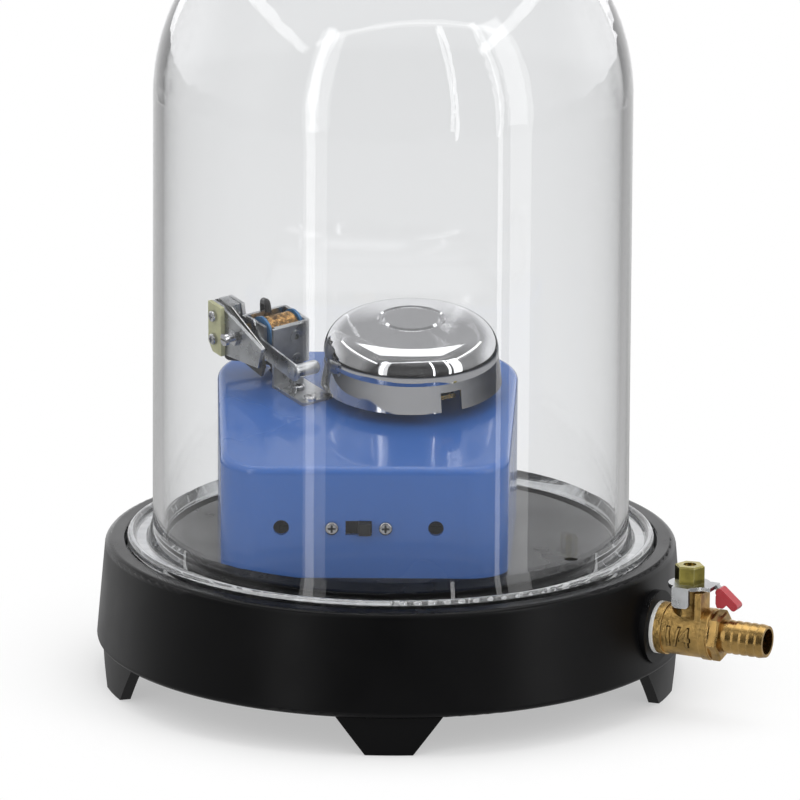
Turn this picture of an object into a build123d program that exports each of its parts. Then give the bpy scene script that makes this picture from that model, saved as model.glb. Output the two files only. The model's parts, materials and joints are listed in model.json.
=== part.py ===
from build123d import *
from math import cos, radians, sin, sqrt, tan
import os

os.makedirs("parts", exist_ok=True)

# Vacuum chamber for the bell-in-a-vacuum demonstration: a moulded base with a seal groove, a clear
# bell jar, a small brass ball valve on the suction side, and an electric bell on its battery box.
# Origin: centre of the base, on the plane its feet stand on. +Z up, -Y towards the switch side.

RUN_FIT = 0.05          # radial clearance of a shaft in its hole
LOOSE_FIT = 0.3         # gap between curved faces that move past each other
SCREW_FIT = 0.15        # radial clearance of a screw in its hole
RECESS_SHARE = 1.15     # a cross recess, as shares of its head's radius and height
RECESS_SLOT = 0.32
RECESS_DEPTH = 0.55

# ---- bell jar --------------------------------------------------------------------------------------
JAR_R = 91.0
JAR_DRAFT = 0.6
JAR_WALL = 4.0
JAR_FLANGE_W = 10.4
JAR_LIP_W = 3.0
JAR_LIP_H = 6.9
JAR_WEB_H = 4.6
JAR_ROOT_H = 11.4
JAR_FOOT_STEP = 2.2
JAR_LIP_ROUND = 1.2
JAR_EDGE_ROUND = 0.9
JAR_SIDE_H = 178.5
JAR_SHOULDER_R = 80.0
JAR_FLANGE_R = JAR_R + JAR_FLANGE_W
JAR_LOW_R = JAR_R + JAR_DRAFT
JAR_MOUTH_R = JAR_LOW_R - JAR_WALL

# ---- base: one moulding, a dished plate on a skirt with five feet, made round the jar ---------------
PLATEAU_GAP = 1.8       # from the raised plate to the jar's mouth
GROOVE_GAP = 0.9        # from the jar's flange to the groove's outer wall
RIM_W = 7.5
RIM_Z = 54.0
RIM_ROUND = 2.6
RIM_IN_ROUND = 0.8
SKIRT_FLARE = 3.6
SKIRT_ROUND = 2.2
SKIRT_WALL = 4.0
FOOT_H = 14.4
FOOT_COUNT = 5
FOOT_STEP = 2.1
FOOT_WALL = 4.2
FOOT_TOP_W = 40.0
FOOT_TIP_W = 18.0
PLATE_Z = 54.5
PLATE_T = 4.0
GROOVE_Z = 47.0
RIB_COUNT = 10
RIB_T = 2.6
RIB_H = 12.0
RIB_HUB_R = 12.0
PLATEAU_R = JAR_MOUTH_R - PLATEAU_GAP
RIM_IN_R = JAR_FLANGE_R + GROOVE_GAP
RIM_OUT_R = RIM_IN_R + RIM_W
SKIRT_LOW_R = RIM_OUT_R + SKIRT_FLARE
FOOT_R = SKIRT_LOW_R - FOOT_STEP

# ---- seal ring in the groove ---------------------------------------------------------------------
SEAL_T = 2.5
SEAL_GAP = 0.75

# ---- ball valve, on a level axis that leaves the skirt at the front right --------------------------
VALVE_AZ = -26.0
VALVE_Z = 32.5
BOSS_R = 14.0
BOSS_PROUD = 0.1
BOSS_FACE = SKIRT_LOW_R + BOSS_PROUD
BOSS_L = 14.0
DUCT_R = 3.0
PORT_R = 2.5
PORT_INSET = 10.3
PORT_AT = PLATEAU_R - PORT_INSET
PORT_TOWER_R = 6.0
DUCT_BLOCK_W = 18.0
DUCT_BLOCK_DROP = 8.0
NIPPLE_R = 6.55
NIPPLE_L = 12.0
NIPPLE_END_GAP = 1.0
WASHER_T = 1.5
WASHER_R = 10.0
VALVE_BODY_R = 9.4
VALVE_COLLAR_R = 9.9
VALVE_COLLAR_L = 3.0
COLLAR_ROUND = 0.5
VALVE_BODY_L = 21.5
VALVE_BORE_R = 3.5
CAVITY_R = 6.6
SEAT_REACH = 7.2
SEAT_T = 3.6
BALL_R = 5.2
BALL_BORE_R = 3.2
BALL_WEB = 0.4
STEM_OUT = 10.7
STEM_R = 2.45
STEM_FLANGE_R = 3.4
STEM_FLANGE_H = 1.4
STEM_TANG_T = 2.0
STEM_TANG_W = 6.0
NECK_R = 6.35
NECK_TOP_Z = 50.0
GLAND_R = 3.7
GLAND_T = 2.5
SEAL_STACK_T = 3.0
LEVER_T = 1.5
LEVER_GAP = 0.1
LEVER_EYE_R = 8.0
LEVER_ARM_W = 9.0
LEVER_REACH = 10.4
LEVER_DROP = 40.0
LEVER_TONGUE_L = 9.2
LEVER_TONGUE_W = 2.6
TAB_OUT = 9.0
LEVER_TAB_W = 6.8
LEVER_TAB_H = 8.0
LEVER_TAB_ROUND = 1.6
STOP_NEAR = 5.2
STOP_W = 2.6
STOP_L = 8.5
STOP_MID = -2.75
STOP_BELOW = 0.6
GRIP_SIDE = 2.2
GRIP_W = 4.8
GRIP_T = 3.2
GRIP_START = 1.6
GRIP_END = 3.0
GRIP_ROUND = 1.3
GRIP_CHEEK_T = 1.1
GRIP_CHEEK = ((10.8, 48.6), (14.6, 45.8), (15.2, 44.4), (13.8, 43.0), (11.4, 43.0), (10.8, 44.6))
GRIP_CHEEK_ROUND = 0.6
NUT_AF = 10.0
NUT_H = 7.0
NUT_TURN = 10.0
STEM_END_GAP = 0.9

# ---- hose barb screwed into the valve ----------------------------------------------------------------
BARB_WASHER_T = 0.6
HEX_AF = 17.0
HEX_L = 3.6
HEX_TURN = 12.0
SPIGOT_R = 6.5
SPIGOT_L = 6.0
TAIL_L = 17.3
BARB_R = 6.45
BARB_ROOT_R = 6.0
BARB_BORE_R = 4.9
BARB_RIDGES = 5
RIDGE_START = 1.5
RIDGE_LEAN = 0.3

# ---- battery box: moulded, with a top that rises to the back ------------------------------------------
BOX_X = -9.5
BOX_FRONT_Y = -61.0
BOX_DEPTH = 114.0
BOX_FRONT_W = 106.0
BOX_BACK_W = 120.5
BOX_FRONT_ROUND = 16.0
BOX_BACK_ROUND = 22.0
BOX_FRONT_H = 42.5
BOX_SLOPE = 9.0
BOX_WALL = 2.5
BOX_EDGE = 3.0
FLOOR_T = 2.4
POST_R = 3.6
POST_INSET = 15.0
CASE_SCREW_R = 1.45
CASE_SCREW_L = 12.0
CASE_SINK = 1.4
CASE_HEAD_R = 2.8
CASE_HEAD_T = 1.3
PORT_HOLE_R = 2.9
PORT_HOLE_X = 28.7
FACE_ROW_H = 19.4

# ---- slide switch behind the front wall ---------------------------------------------------------------
SWITCH_X = -2.3
SWITCH_WINDOW_W = 9.8
SWITCH_WINDOW_H = 5.6
SWITCH_PITCH = 20.0
SWITCH_EAR_T = 0.6
SWITCH_FRAME_W = 26.0
SWITCH_FRAME_H = 8.0
SWITCH_BODY_W = 16.0
SWITCH_BODY_DEEP = 8.0
SWITCH_POCKET_W = 13.4
SWITCH_POCKET_H = 6.2
SWITCH_POCKET_DEEP = 1.8
KNOB_W = 4.6
KNOB_H = 4.8
KNOB_OUT = 3.0
KNOB_LIFT = 0.25
KNOB_GAP = 0.3
KNOB_ROUND = 0.4
KNOB_FLANGE_W = 8.0
KNOB_FLANGE_H = 5.6
KNOB_FLANGE_T = 1.3
SWITCH_SCREW_R = 1.1
SWITCH_HEAD_R = 2.5
SWITCH_HEAD_T = 1.5
SWITCH_SCREW_L = 6.0

# ---- battery tray and cells ----------------------------------------------------------------------------
CELL_R = 7.1
CELL_L = 49.0
CELL_COUNT = 4
CELL_GAP = 1.2
TRAY_WALL = 1.6
TRAY_FLOOR = 1.4
CONTACT_T = 0.5
CONTACT_W = 11.4
CONTACT_H = 10.0
SPRING_ROOM = 3.0
TRAY_BACK = 54.0
TRAY_H = 11.0
CELL_NUB_R = 2.7
CELL_NUB_L = 1.5
CONTACT_SPRING_R = 3.6
CONTACT_TIP_R = 2.0

# ---- gong ---------------------------------------------------------------------------------------------
GONG_X = 17.0
GONG_UP = 75.0
GONG_GAP = 4.8
GONG_R = 35.2
GONG_H = 25.2
GONG_T = 1.2
GONG_SIDE_H = 10.8
GONG_SIDE_LEAN = 1.6
GONG_SHOULDER_R = 24.5
GONG_CROWN_DROP = 2.1
GONG_RING_R = 13.2
GONG_DISC_R = 10.4
GONG_STEP_W = 0.8
GONG_STEP_H = 0.7
GONG_BEAD_W = 0.6
GONG_BEAD_H = 0.5
GONG_DISH = 0.9         # how far the inside lies lower round the centre disc
NOTCH_W = 8.6
NOTCH_H = 7.7
NOTCH_AZ = -63.7
PILLAR_R = 3.0
PILLAR_SPIGOT_R = 2.0
PILLAR_SPIGOT_L = 7.0
GONG_NUT_AF = 7.0
GONG_NUT_T = 3.2
BRIDGE_RING_W = 3.0
BRIDGE_W = 7.0
BRIDGE_T = 1.5
BRIDGE_H = 3.6
BRIDGE_REACH = 31.0

# ---- striker: yoke, coil, armature and contact pile, turned on the box top ----------------------------
MECH_X = -40.6
MECH_UP = 85.3
MECH_TURN = 34.0
YOKE_L = 16.4
YOKE_W = 18.5
YOKE_T = 1.5
YOKE_LOW = 7.5
YOKE_TOP = 24.2
TAB_REACH = 20.0
YOKE_BEND = 1.9
TAB_X = -2.65
RIVET_PLACES = ((8.7, 19.4), (9.2, 9.7))
FOOT_T = 1.2
FOOT_X0 = -1.6
FOOT_W = 13.8
FOOT_LEN = 21.0
FOOT_ROUND = 0.8
BRACKET_SCREWS = ((2.8, -29.45), (4.7, -18.25))
BRACKET_SCREW_R = 1.4
BRACKET_HEAD_R = 2.5
BRACKET_HEAD_T = 1.7
BRACKET_SCREW_L = 6.0
COIL_Z = 18.3
CORE_R = 3.0
CORE_OUT = 0.3
CORE_SCREW_R = 1.5
CORE_SCREW_L = 6.0
CORE_HEAD_R = 2.7
CORE_HEAD_T = 1.6
BOBBIN_L = 15.3
TUBE_R = 3.7
CHEEK_R = 7.4
CHEEK_T = 1.0
COIL_R = 6.9
RIVET_R = 2.6
RIVET_SHANK_R = 1.6
RIVET_FLANGE_T = 0.5
RIVET_PIT = 1.5
ARM_T = 0.8
ARM_BACK = 7.0
ARM_EYE_R = 3.6
PAD_T = 1.2
PAD_X = -1.4
PAD_W = 10.4
PAD_H = 11.4
HEAD_Y = -27.2
HEAD_Z = 13.2
HEAD_R = 2.65
HEAD_GAP = 1.3
HEAD_NOSE = 1.8
HEAD_SPIGOT_R = 1.3
HEAD_BUTTON_R = 2.0
HEAD_BUTTON_T = 0.5
ARM_OUTLINE = ((ARM_BACK, 24.6), (1.6, 24.9), (-3.4, 18.9), (-26.9, 16.8), (-27.5, 9.6), (-5.3, 11.6),
               (-5.3, 10.9), (ARM_BACK, 10.9))
SPRING_RIVETS = ((4.2, 15.0), (4.2, 21.0))
SPRING_RIVET_R = 0.8
SPRING_HEAD_R = 1.45
LEAF_HEAD_GAP = 0.25
LEAF_FREE_Y = 2.0
LEAF_T = 0.4
LEAF_LOW = 12.0
PILE_Y = 15.0
PILE_FRONT = 10.2
PILE_LOW = 10.9
PILE_TOP = 28.6
FIBRE_T = 1.8
FIBRE_LOW = 8.6
FIBRE_CUT = 3.4
PLATE_TRI_T = 1.5
SHEET_T = 1.2
SPACER_T = 4.3
CONTACT_LEAF_OUTLINE = ((20, 28.0), (9.3, 28.6), (-14.7, 19.7), (-13.0, 17.2), (8, 12), (20, 11.5))
SHEET_OUTLINE = ((20, 28.4), (10.1, 28.2), (-14.1, 18.7), (-16.2, 12.8), (-14.1, 8.3), (-1.0, 9.7), (13, 10.9),
                 (20, 10.9))
PLATE_OUTLINE = ((20, 28.3), (13, 28.3), (-17, 20.5), (-14.2, 12.0), (13.1, 8.6), (20, 9.5))
SHEET_HOLE_R = 2.6
PILE_SCREW_R = 1.2
PILE_SCREW_Z = (14.5, 24.0)
PILE_HEAD_R = 2.2
PILE_HEAD_T = 1.9
PILE_NUT_AF = 4.4
PILE_NUT_T = 1.6
CONTACT_Y = 2.5
CONTACT_Z = 19.0
CONTACT_R = 1.5
CONTACT_SCREW_L = 6.4
CONTACT_HEAD_R = 2.4
CONTACT_HEAD_T = 1.6
CONTACT_SLOT_W = 0.7
CONTACT_NUT_AF = 5.6
CONTACT_NUT_T = 1.2
LEAD_R = 0.7
LEAD_SLEEVE_R = 1.3
LEAD_BEND = 1.6
LEAD_HOLE = (9.0, 4.2)
LEAD_HOLE_R = 3.0
SLEEVE_PATH = ((5.5, 4.5, 24.9), (5.9, 6.0, 28.5), (7.5, 11.6, 27.0), (7.5, 11.6, 6.0), (9.0, 5.6, 0.5),
               (9.0, 5.6, -4.0))
CONTACT_LEAD_PATH = ((-8.3, 14.0, 10.8), (-8.3, 14.0, 5.5), (2.0, 9.0, 4.0), (7.6, 3.2, 3.0), (7.6, 3.2, -4.0))
COIL_LEAD_PATH = ((10.4, 2.8, 11.3), (10.9, 2.9, 5.5), (10.4, 3.0, 1.5), (10.4, 3.0, -4.0))


def finish(part, name):
    """Label a finished solid and write it under its node name."""
    part.label = name
    export_step(part, f"parts/{name}.step")


def outline(*points):
    """Add a straight-sided outline to the sketch that is open."""
    return Polygon(*points, align=None)


def nearest(items, point):
    """The corner, edge or face that lies nearest a point."""
    return items.sort_by_distance(point)[0]


def pan_screws(places, head_r, head_t, shank_r, length):
    """Cross-head pan screws, one at each place, each head standing on its place's plane."""
    with BuildPart() as screws:
        for place in places:
            with BuildSketch(place):
                Circle(head_r)
            extrude(amount=head_t)
            fillet(nearest(edges().filter_by(GeomType.CIRCLE), place.offset(head_t).origin), 0.45 * head_t)
            with BuildSketch(place):
                Circle(shank_r)
            extrude(amount=-length)
            with BuildSketch(place.offset(head_t)):
                Rectangle(head_r * RECESS_SHARE, head_r * RECESS_SLOT)
                Rectangle(head_r * RECESS_SLOT, head_r * RECESS_SHARE)
            extrude(amount=-head_t * RECESS_DEPTH, mode=Mode.SUBTRACT)
    return screws.part


# =================================== base ==============================================================
UNDER_PLATE_Z = PLATE_Z - PLATE_T
UNDER_GROOVE_Z = GROOVE_Z - PLATE_T
SKIRT_DRAFT = (SKIRT_LOW_R - RIM_OUT_R) / (RIM_Z - FOOT_H)
SKIRT_IN_LOW = FOOT_R - FOOT_WALL
SKIRT_IN_TOP = RIM_OUT_R + SKIRT_DRAFT * (RIM_Z - UNDER_GROOVE_Z) - SKIRT_WALL
UP = Vector(0, 0, 1)
RADIAL = Vector(cos(radians(VALVE_AZ)), sin(radians(VALVE_AZ)), 0)
ACROSS = Vector(-sin(radians(VALVE_AZ)), cos(radians(VALVE_AZ)), 0)
VALVE_SIDE = Plane(origin=UP * VALVE_Z, x_dir=RADIAL, z_dir=-ACROSS)
VALVE_AXIS = Axis(UP * VALVE_Z, RADIAL)


def valve_cross(reach):
    """Plane square to the valve's axis, at a distance from the chamber's own axis."""
    return Plane(origin=RADIAL * reach + UP * VALVE_Z, x_dir=ACROSS, z_dir=RADIAL)


with BuildPart() as foot_wedges:
    for k in range(FOOT_COUNT):
        turn = radians(-90 + k * 360 / FOOT_COUNT)
        outward = Vector(cos(turn), sin(turn), 0)
        with BuildSketch(Plane(origin=outward * (FOOT_R / 2), x_dir=(-sin(turn), cos(turn), 0), z_dir=outward)):
            outline((-FOOT_TIP_W / 2, 0), (FOOT_TIP_W / 2, 0), (FOOT_TOP_W / 2, FOOT_H), (-FOOT_TOP_W / 2, FOOT_H))
        extrude(amount=FOOT_R)

with BuildPart() as feet:
    with BuildSketch(Plane.XZ):
        with Locations((FOOT_R - FOOT_WALL / 2, FOOT_H / 2)):
            Rectangle(FOOT_WALL, FOOT_H)
    revolve(axis=Axis.Z)
    add(foot_wedges.part, mode=Mode.INTERSECT)

with BuildPart() as base:
    with BuildSketch(Plane.XZ) as base_section:
        outline((0, PLATE_Z), (PLATEAU_R, PLATE_Z), (PLATEAU_R, GROOVE_Z), (RIM_IN_R, GROOVE_Z),
                (RIM_IN_R, RIM_Z), (RIM_OUT_R, RIM_Z), (SKIRT_LOW_R, FOOT_H), (SKIRT_IN_LOW, FOOT_H),
                (SKIRT_IN_TOP, UNDER_GROOVE_Z), (PLATEAU_R - PLATE_T, UNDER_GROOVE_Z),
                (PLATEAU_R - PLATE_T, UNDER_PLATE_Z), (0, UNDER_PLATE_Z))
        fillet(nearest(base_section.vertices(), (RIM_OUT_R, RIM_Z, 0)), radius=RIM_ROUND)
        fillet(nearest(base_section.vertices(), (RIM_IN_R, RIM_Z, 0)), radius=RIM_IN_ROUND)
        fillet(nearest(base_section.vertices(), (SKIRT_LOW_R, FOOT_H, 0)), radius=SKIRT_ROUND)
        fillet(nearest(base_section.vertices(), (PLATEAU_R, PLATE_Z, 0)), radius=RIM_IN_ROUND)
    revolve(axis=Axis.Z)
    add(feet.part)
    # ribs under the plate, from the hub out to the groove wall
    with BuildSketch(Plane.XY.offset(UNDER_PLATE_Z - RIB_H)):
        Circle(RIB_HUB_R)
        with PolarLocations((PLATEAU_R - PLATE_T) / 2, RIB_COUNT):
            Rectangle(PLATEAU_R - PLATE_T, RIB_T)
    extrude(amount=RIB_H)
    # block under the plate for the duct, and the boss that the valve screws into
    with BuildSketch(Plane(origin=UP * (VALVE_Z - DUCT_BLOCK_DROP), x_dir=RADIAL, z_dir=UP)):
        with Locations(((PORT_AT + BOSS_FACE) / 2 - DUCT_BLOCK_W / 2, 0)):
            Rectangle(BOSS_FACE - PORT_AT, DUCT_BLOCK_W)
    extrude(amount=UNDER_GROOVE_Z - VALVE_Z + DUCT_BLOCK_DROP)
    with BuildSketch(Plane(origin=RADIAL * PORT_AT + UP * VALVE_Z, z_dir=UP)):
        Circle(PORT_TOWER_R)
    extrude(amount=UNDER_PLATE_Z - VALVE_Z)
    with BuildSketch(valve_cross(BOSS_FACE)):
        Circle(BOSS_R)
    extrude(amount=-BOSS_L)
    with BuildSketch(valve_cross(BOSS_FACE)):
        Circle(NIPPLE_R + RUN_FIT)
    extrude(amount=-NIPPLE_L - NIPPLE_END_GAP, mode=Mode.SUBTRACT)
    with BuildSketch(valve_cross(BOSS_FACE)):
        Circle(DUCT_R)
    extrude(amount=PORT_AT - DUCT_R - BOSS_FACE, mode=Mode.SUBTRACT)
    with BuildSketch(Plane(origin=RADIAL * PORT_AT + UP * VALVE_Z, z_dir=UP)):
        Circle(PORT_R)
    extrude(amount=PLATE_Z - VALVE_Z, mode=Mode.SUBTRACT)
finish(base.part, "base")

with BuildPart() as seal_ring:
    with BuildSketch(Plane.XY.offset(GROOVE_Z)):
        Circle(RIM_IN_R - SEAL_GAP)
        Circle(PLATEAU_R + SEAL_GAP, mode=Mode.SUBTRACT)
    extrude(amount=SEAL_T)
finish(seal_ring.part, "seal_ring")

# =================================== bell jar ==========================================================
JAR_Z = GROOVE_Z + SEAL_T
JAR_SHOULDER_Z = JAR_Z + JAR_SIDE_H
JAR_CROWN_R = JAR_R - JAR_SHOULDER_R
JAR_TOP_Z = JAR_SHOULDER_Z + JAR_SHOULDER_R
HALF = sqrt(0.5)

with BuildPart() as bell_jar:
    with BuildSketch(Plane.XZ) as jar_section:
        with BuildLine():
            inner_mid = (JAR_CROWN_R + HALF * (JAR_SHOULDER_R - JAR_WALL),
                         JAR_SHOULDER_Z + HALF * (JAR_SHOULDER_R - JAR_WALL))
            outer_mid = (JAR_CROWN_R + HALF * JAR_SHOULDER_R, JAR_SHOULDER_Z + HALF * JAR_SHOULDER_R)
            Polyline((0, JAR_TOP_Z - JAR_WALL), (0, JAR_TOP_Z), (JAR_CROWN_R, JAR_TOP_Z))
            ThreePointArc((JAR_CROWN_R, JAR_TOP_Z), outer_mid, (JAR_R, JAR_SHOULDER_Z))
            Polyline((JAR_R, JAR_SHOULDER_Z), (JAR_LOW_R, JAR_Z + JAR_ROOT_H),
                     (JAR_LOW_R + JAR_FOOT_STEP, JAR_Z + JAR_WEB_H), (JAR_FLANGE_R - JAR_LIP_W, JAR_Z + JAR_WEB_H),
                     (JAR_FLANGE_R - JAR_LIP_W, JAR_Z + JAR_LIP_H), (JAR_FLANGE_R, JAR_Z + JAR_LIP_H),
                     (JAR_FLANGE_R, JAR_Z), (JAR_MOUTH_R, JAR_Z), (JAR_R - JAR_WALL, JAR_SHOULDER_Z))
            ThreePointArc((JAR_R - JAR_WALL, JAR_SHOULDER_Z), inner_mid, (JAR_CROWN_R, JAR_TOP_Z - JAR_WALL))
            Line((JAR_CROWN_R, JAR_TOP_Z - JAR_WALL), (0, JAR_TOP_Z - JAR_WALL))
        make_face()
        fillet(nearest(jar_section.vertices(), (JAR_FLANGE_R, JAR_Z + JAR_LIP_H, 0)), radius=JAR_LIP_ROUND)
        fillet(nearest(jar_section.vertices(), (JAR_FLANGE_R - JAR_LIP_W, JAR_Z + JAR_LIP_H, 0)),
               radius=JAR_LIP_ROUND)
        fillet(nearest(jar_section.vertices(), (JAR_FLANGE_R - JAR_LIP_W, JAR_Z + JAR_WEB_H, 0)),
               radius=JAR_EDGE_ROUND)
        fillet(nearest(jar_section.vertices(), (JAR_LOW_R + JAR_FOOT_STEP, JAR_Z + JAR_WEB_H, 0)),
               radius=JAR_EDGE_ROUND)
        fillet(nearest(jar_section.vertices(), (JAR_MOUTH_R, JAR_Z, 0)), radius=JAR_EDGE_ROUND)
        fillet(nearest(jar_section.vertices(), (JAR_FLANGE_R, JAR_Z, 0)), radius=JAR_EDGE_ROUND)
    revolve(axis=Axis.Z)
finish(bell_jar.part, "bell_jar")

# =================================== ball valve ========================================================
BODY_START = BOSS_FACE + WASHER_T
BODY_END = BODY_START + VALVE_BODY_L
STEM_AT = BODY_START + STEM_OUT
SEAT_FROM = STEM_AT - SEAT_REACH
SEAT_TO = STEM_AT + SEAT_REACH
FLANGE_H = CAVITY_R - 0.3
LEVER_Z = NECK_TOP_Z + LEVER_GAP
NUT_Z = LEVER_Z + LEVER_T
STEM_TOP_Z = NUT_Z + NUT_H - STEM_END_GAP
GLAND_Z = NECK_TOP_Z - GLAND_T
STEM_SEAL_Z = GLAND_Z - SEAL_STACK_T
STEM_HOLE_R = STEM_R + RUN_FIT


def stem_plane(height):
    """Level plane centred on the valve's stem, x along the valve."""
    return Plane(origin=RADIAL * STEM_AT + UP * height, x_dir=RADIAL, z_dir=UP)


with BuildPart() as valve_washer:
    with BuildSketch(valve_cross(BOSS_FACE)):
        Circle(WASHER_R)
        Circle(NIPPLE_R + SCREW_FIT, mode=Mode.SUBTRACT)
    extrude(amount=WASHER_T)
finish(valve_washer.part, "valve_washer")

with BuildPart() as valve_body:
    with BuildSketch(VALVE_SIDE):
        outline((BOSS_FACE - NIPPLE_L, 0), (BOSS_FACE - NIPPLE_L, NIPPLE_R), (BODY_START, NIPPLE_R),
                (BODY_START, VALVE_COLLAR_R), (BODY_START + VALVE_COLLAR_L, VALVE_COLLAR_R),
                (BODY_START + VALVE_COLLAR_L, VALVE_BODY_R), (BODY_END - VALVE_COLLAR_L, VALVE_BODY_R),
                (BODY_END - VALVE_COLLAR_L, VALVE_COLLAR_R), (BODY_END, VALVE_COLLAR_R), (BODY_END, 0))
    revolve(axis=VALVE_AXIS)
    fillet(edges().filter_by(GeomType.CIRCLE).sort_by(VALVE_AXIS)[-1], COLLAR_ROUND)
    with BuildSketch(stem_plane(VALVE_Z)):
        Circle(NECK_R)
    extrude(amount=NECK_TOP_Z - VALVE_Z)
    # the two stops that the lever's tab meets, open and closed
    with BuildSketch(stem_plane(VALVE_Z)):
        with Locations((STOP_NEAR + STOP_W / 2, STOP_MID)):
            Rectangle(STOP_W, STOP_L)
        with Locations((STOP_MID, STOP_NEAR + STOP_W / 2)):
            Rectangle(STOP_L, STOP_W)
    extrude(amount=NECK_TOP_Z - STOP_BELOW - VALVE_Z)
    with BuildSketch(VALVE_SIDE):
        outline((SEAT_FROM, 0), (SEAT_FROM, CAVITY_R), (BODY_END, CAVITY_R), (BODY_END, 0))
        outline((BOSS_FACE - NIPPLE_L, 0), (BOSS_FACE - NIPPLE_L, VALVE_BORE_R), (SEAT_FROM, VALVE_BORE_R),
                (SEAT_FROM, 0))
    revolve(axis=VALVE_AXIS, mode=Mode.SUBTRACT)
    with BuildSketch(stem_plane(VALVE_Z)):
        Circle(STEM_HOLE_R)
    extrude(amount=NECK_TOP_Z - VALVE_Z, mode=Mode.SUBTRACT)
    with BuildSketch(stem_plane(VALVE_Z)):
        Circle(STEM_FLANGE_R + RUN_FIT)
    extrude(amount=FLANGE_H + STEM_FLANGE_H + RUN_FIT, mode=Mode.SUBTRACT)
    with BuildSketch(stem_plane(STEM_SEAL_Z)):
        Circle(GLAND_R + RUN_FIT)
    extrude(amount=NECK_TOP_Z - STEM_SEAL_Z, mode=Mode.SUBTRACT)
finish(valve_body.part, "valve_body")

with BuildPart() as valve_seats:
    with BuildSketch(VALVE_SIDE):
        for low, high in ((SEAT_FROM, SEAT_FROM + SEAT_T), (SEAT_TO - SEAT_T, SEAT_TO)):
            outline((low, VALVE_BORE_R), (low, CAVITY_R - RUN_FIT), (high, CAVITY_R - RUN_FIT), (high, VALVE_BORE_R))
        with Locations((STEM_AT, 0)):
            Circle(BALL_R + LOOSE_FIT, mode=Mode.SUBTRACT)
    revolve(axis=VALVE_AXIS)
finish(valve_seats.part, "valve_seats")

with BuildPart() as valve_ball:
    with Locations(stem_plane(VALVE_Z)):
        Sphere(BALL_R)
    with BuildSketch(valve_cross(STEM_AT - BALL_R)):
        Circle(BALL_BORE_R)
    extrude(amount=2 * BALL_R, mode=Mode.SUBTRACT)
    with BuildSketch(stem_plane(VALVE_Z + BALL_BORE_R + BALL_WEB)):
        Rectangle(STEM_TANG_T + 2 * RUN_FIT, 2 * BALL_R)
    extrude(amount=BALL_R, mode=Mode.SUBTRACT)
finish(valve_ball.part, "valve_ball")

with BuildPart() as valve_stem:
    with BuildSketch(stem_plane(VALVE_Z + BALL_BORE_R + BALL_WEB + RUN_FIT)):
        Rectangle(STEM_TANG_T, STEM_TANG_W)
    extrude(amount=FLANGE_H - BALL_BORE_R - BALL_WEB - RUN_FIT)
    with BuildSketch(stem_plane(VALVE_Z + FLANGE_H)):
        Circle(STEM_FLANGE_R)
    extrude(amount=STEM_FLANGE_H)
    with BuildSketch(stem_plane(VALVE_Z + FLANGE_H)):
        Circle(STEM_R)
    extrude(amount=STEM_TOP_Z - VALVE_Z - FLANGE_H)
finish(valve_stem.part, "valve_stem")

with BuildPart() as stem_seal:
    with BuildSketch(stem_plane(STEM_SEAL_Z)):
        Circle(GLAND_R)
        Circle(STEM_HOLE_R, mode=Mode.SUBTRACT)
    extrude(amount=SEAL_STACK_T)
finish(stem_seal.part, "stem_seal")

with BuildPart() as stem_gland:
    with BuildSketch(stem_plane(GLAND_Z)):
        Circle(GLAND_R)
        Circle(STEM_HOLE_R, mode=Mode.SUBTRACT)
    extrude(amount=GLAND_T)
finish(stem_gland.part, "stem_gland")

STEM_SIDE = Plane(origin=RADIAL * STEM_AT, x_dir=RADIAL, z_dir=-ACROSS)
GRIP_MID = STEM_SIDE.offset(-GRIP_SIDE)
BEND = radians(LEVER_DROP)
LEVER_TOP_Z = LEVER_Z + LEVER_T
TONGUE_END = (LEVER_REACH + LEVER_TONGUE_L * cos(BEND), LEVER_TOP_Z - LEVER_TONGUE_L * sin(BEND))

with BuildPart() as valve_lever:
    with BuildSketch(stem_plane(LEVER_Z)):
        Circle(LEVER_EYE_R)
        with Locations((LEVER_REACH / 2, 0)):
            Rectangle(LEVER_REACH, LEVER_ARM_W)
        with Locations((0, -TAB_OUT / 2)):
            Rectangle(LEVER_TAB_W, TAB_OUT)
    extrude(amount=LEVER_T)
    with BuildSketch(STEM_SIDE.offset(TAB_OUT)) as tab_face:
        outline((-LEVER_TAB_W / 2, LEVER_TOP_Z), (LEVER_TAB_W / 2, LEVER_TOP_Z),
                (LEVER_TAB_W / 2, LEVER_TOP_Z - LEVER_TAB_H), (-LEVER_TAB_W / 2, LEVER_TOP_Z - LEVER_TAB_H))
        fillet(tab_face.vertices().group_by(Axis.Z)[0], radius=LEVER_TAB_ROUND)
    extrude(amount=-LEVER_T)
    with BuildSketch(GRIP_MID):
        outline((LEVER_REACH, LEVER_TOP_Z), TONGUE_END,
                (TONGUE_END[0] - LEVER_T * sin(BEND), TONGUE_END[1] - LEVER_T * cos(BEND)),
                (LEVER_REACH - LEVER_T * tan(BEND / 2), LEVER_Z))
    extrude(amount=LEVER_TONGUE_W / 2, both=True)
    with BuildSketch(stem_plane(LEVER_Z)):
        Circle(STEM_HOLE_R)
    extrude(amount=LEVER_T, mode=Mode.SUBTRACT)
finish(valve_lever.part, "valve_lever")

TONGUE_MID = (TONGUE_END[0] - LEVER_T / 2 * sin(BEND), TONGUE_END[1] - LEVER_T / 2 * cos(BEND))
GRIP_L = LEVER_TONGUE_L - GRIP_START + GRIP_END

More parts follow.
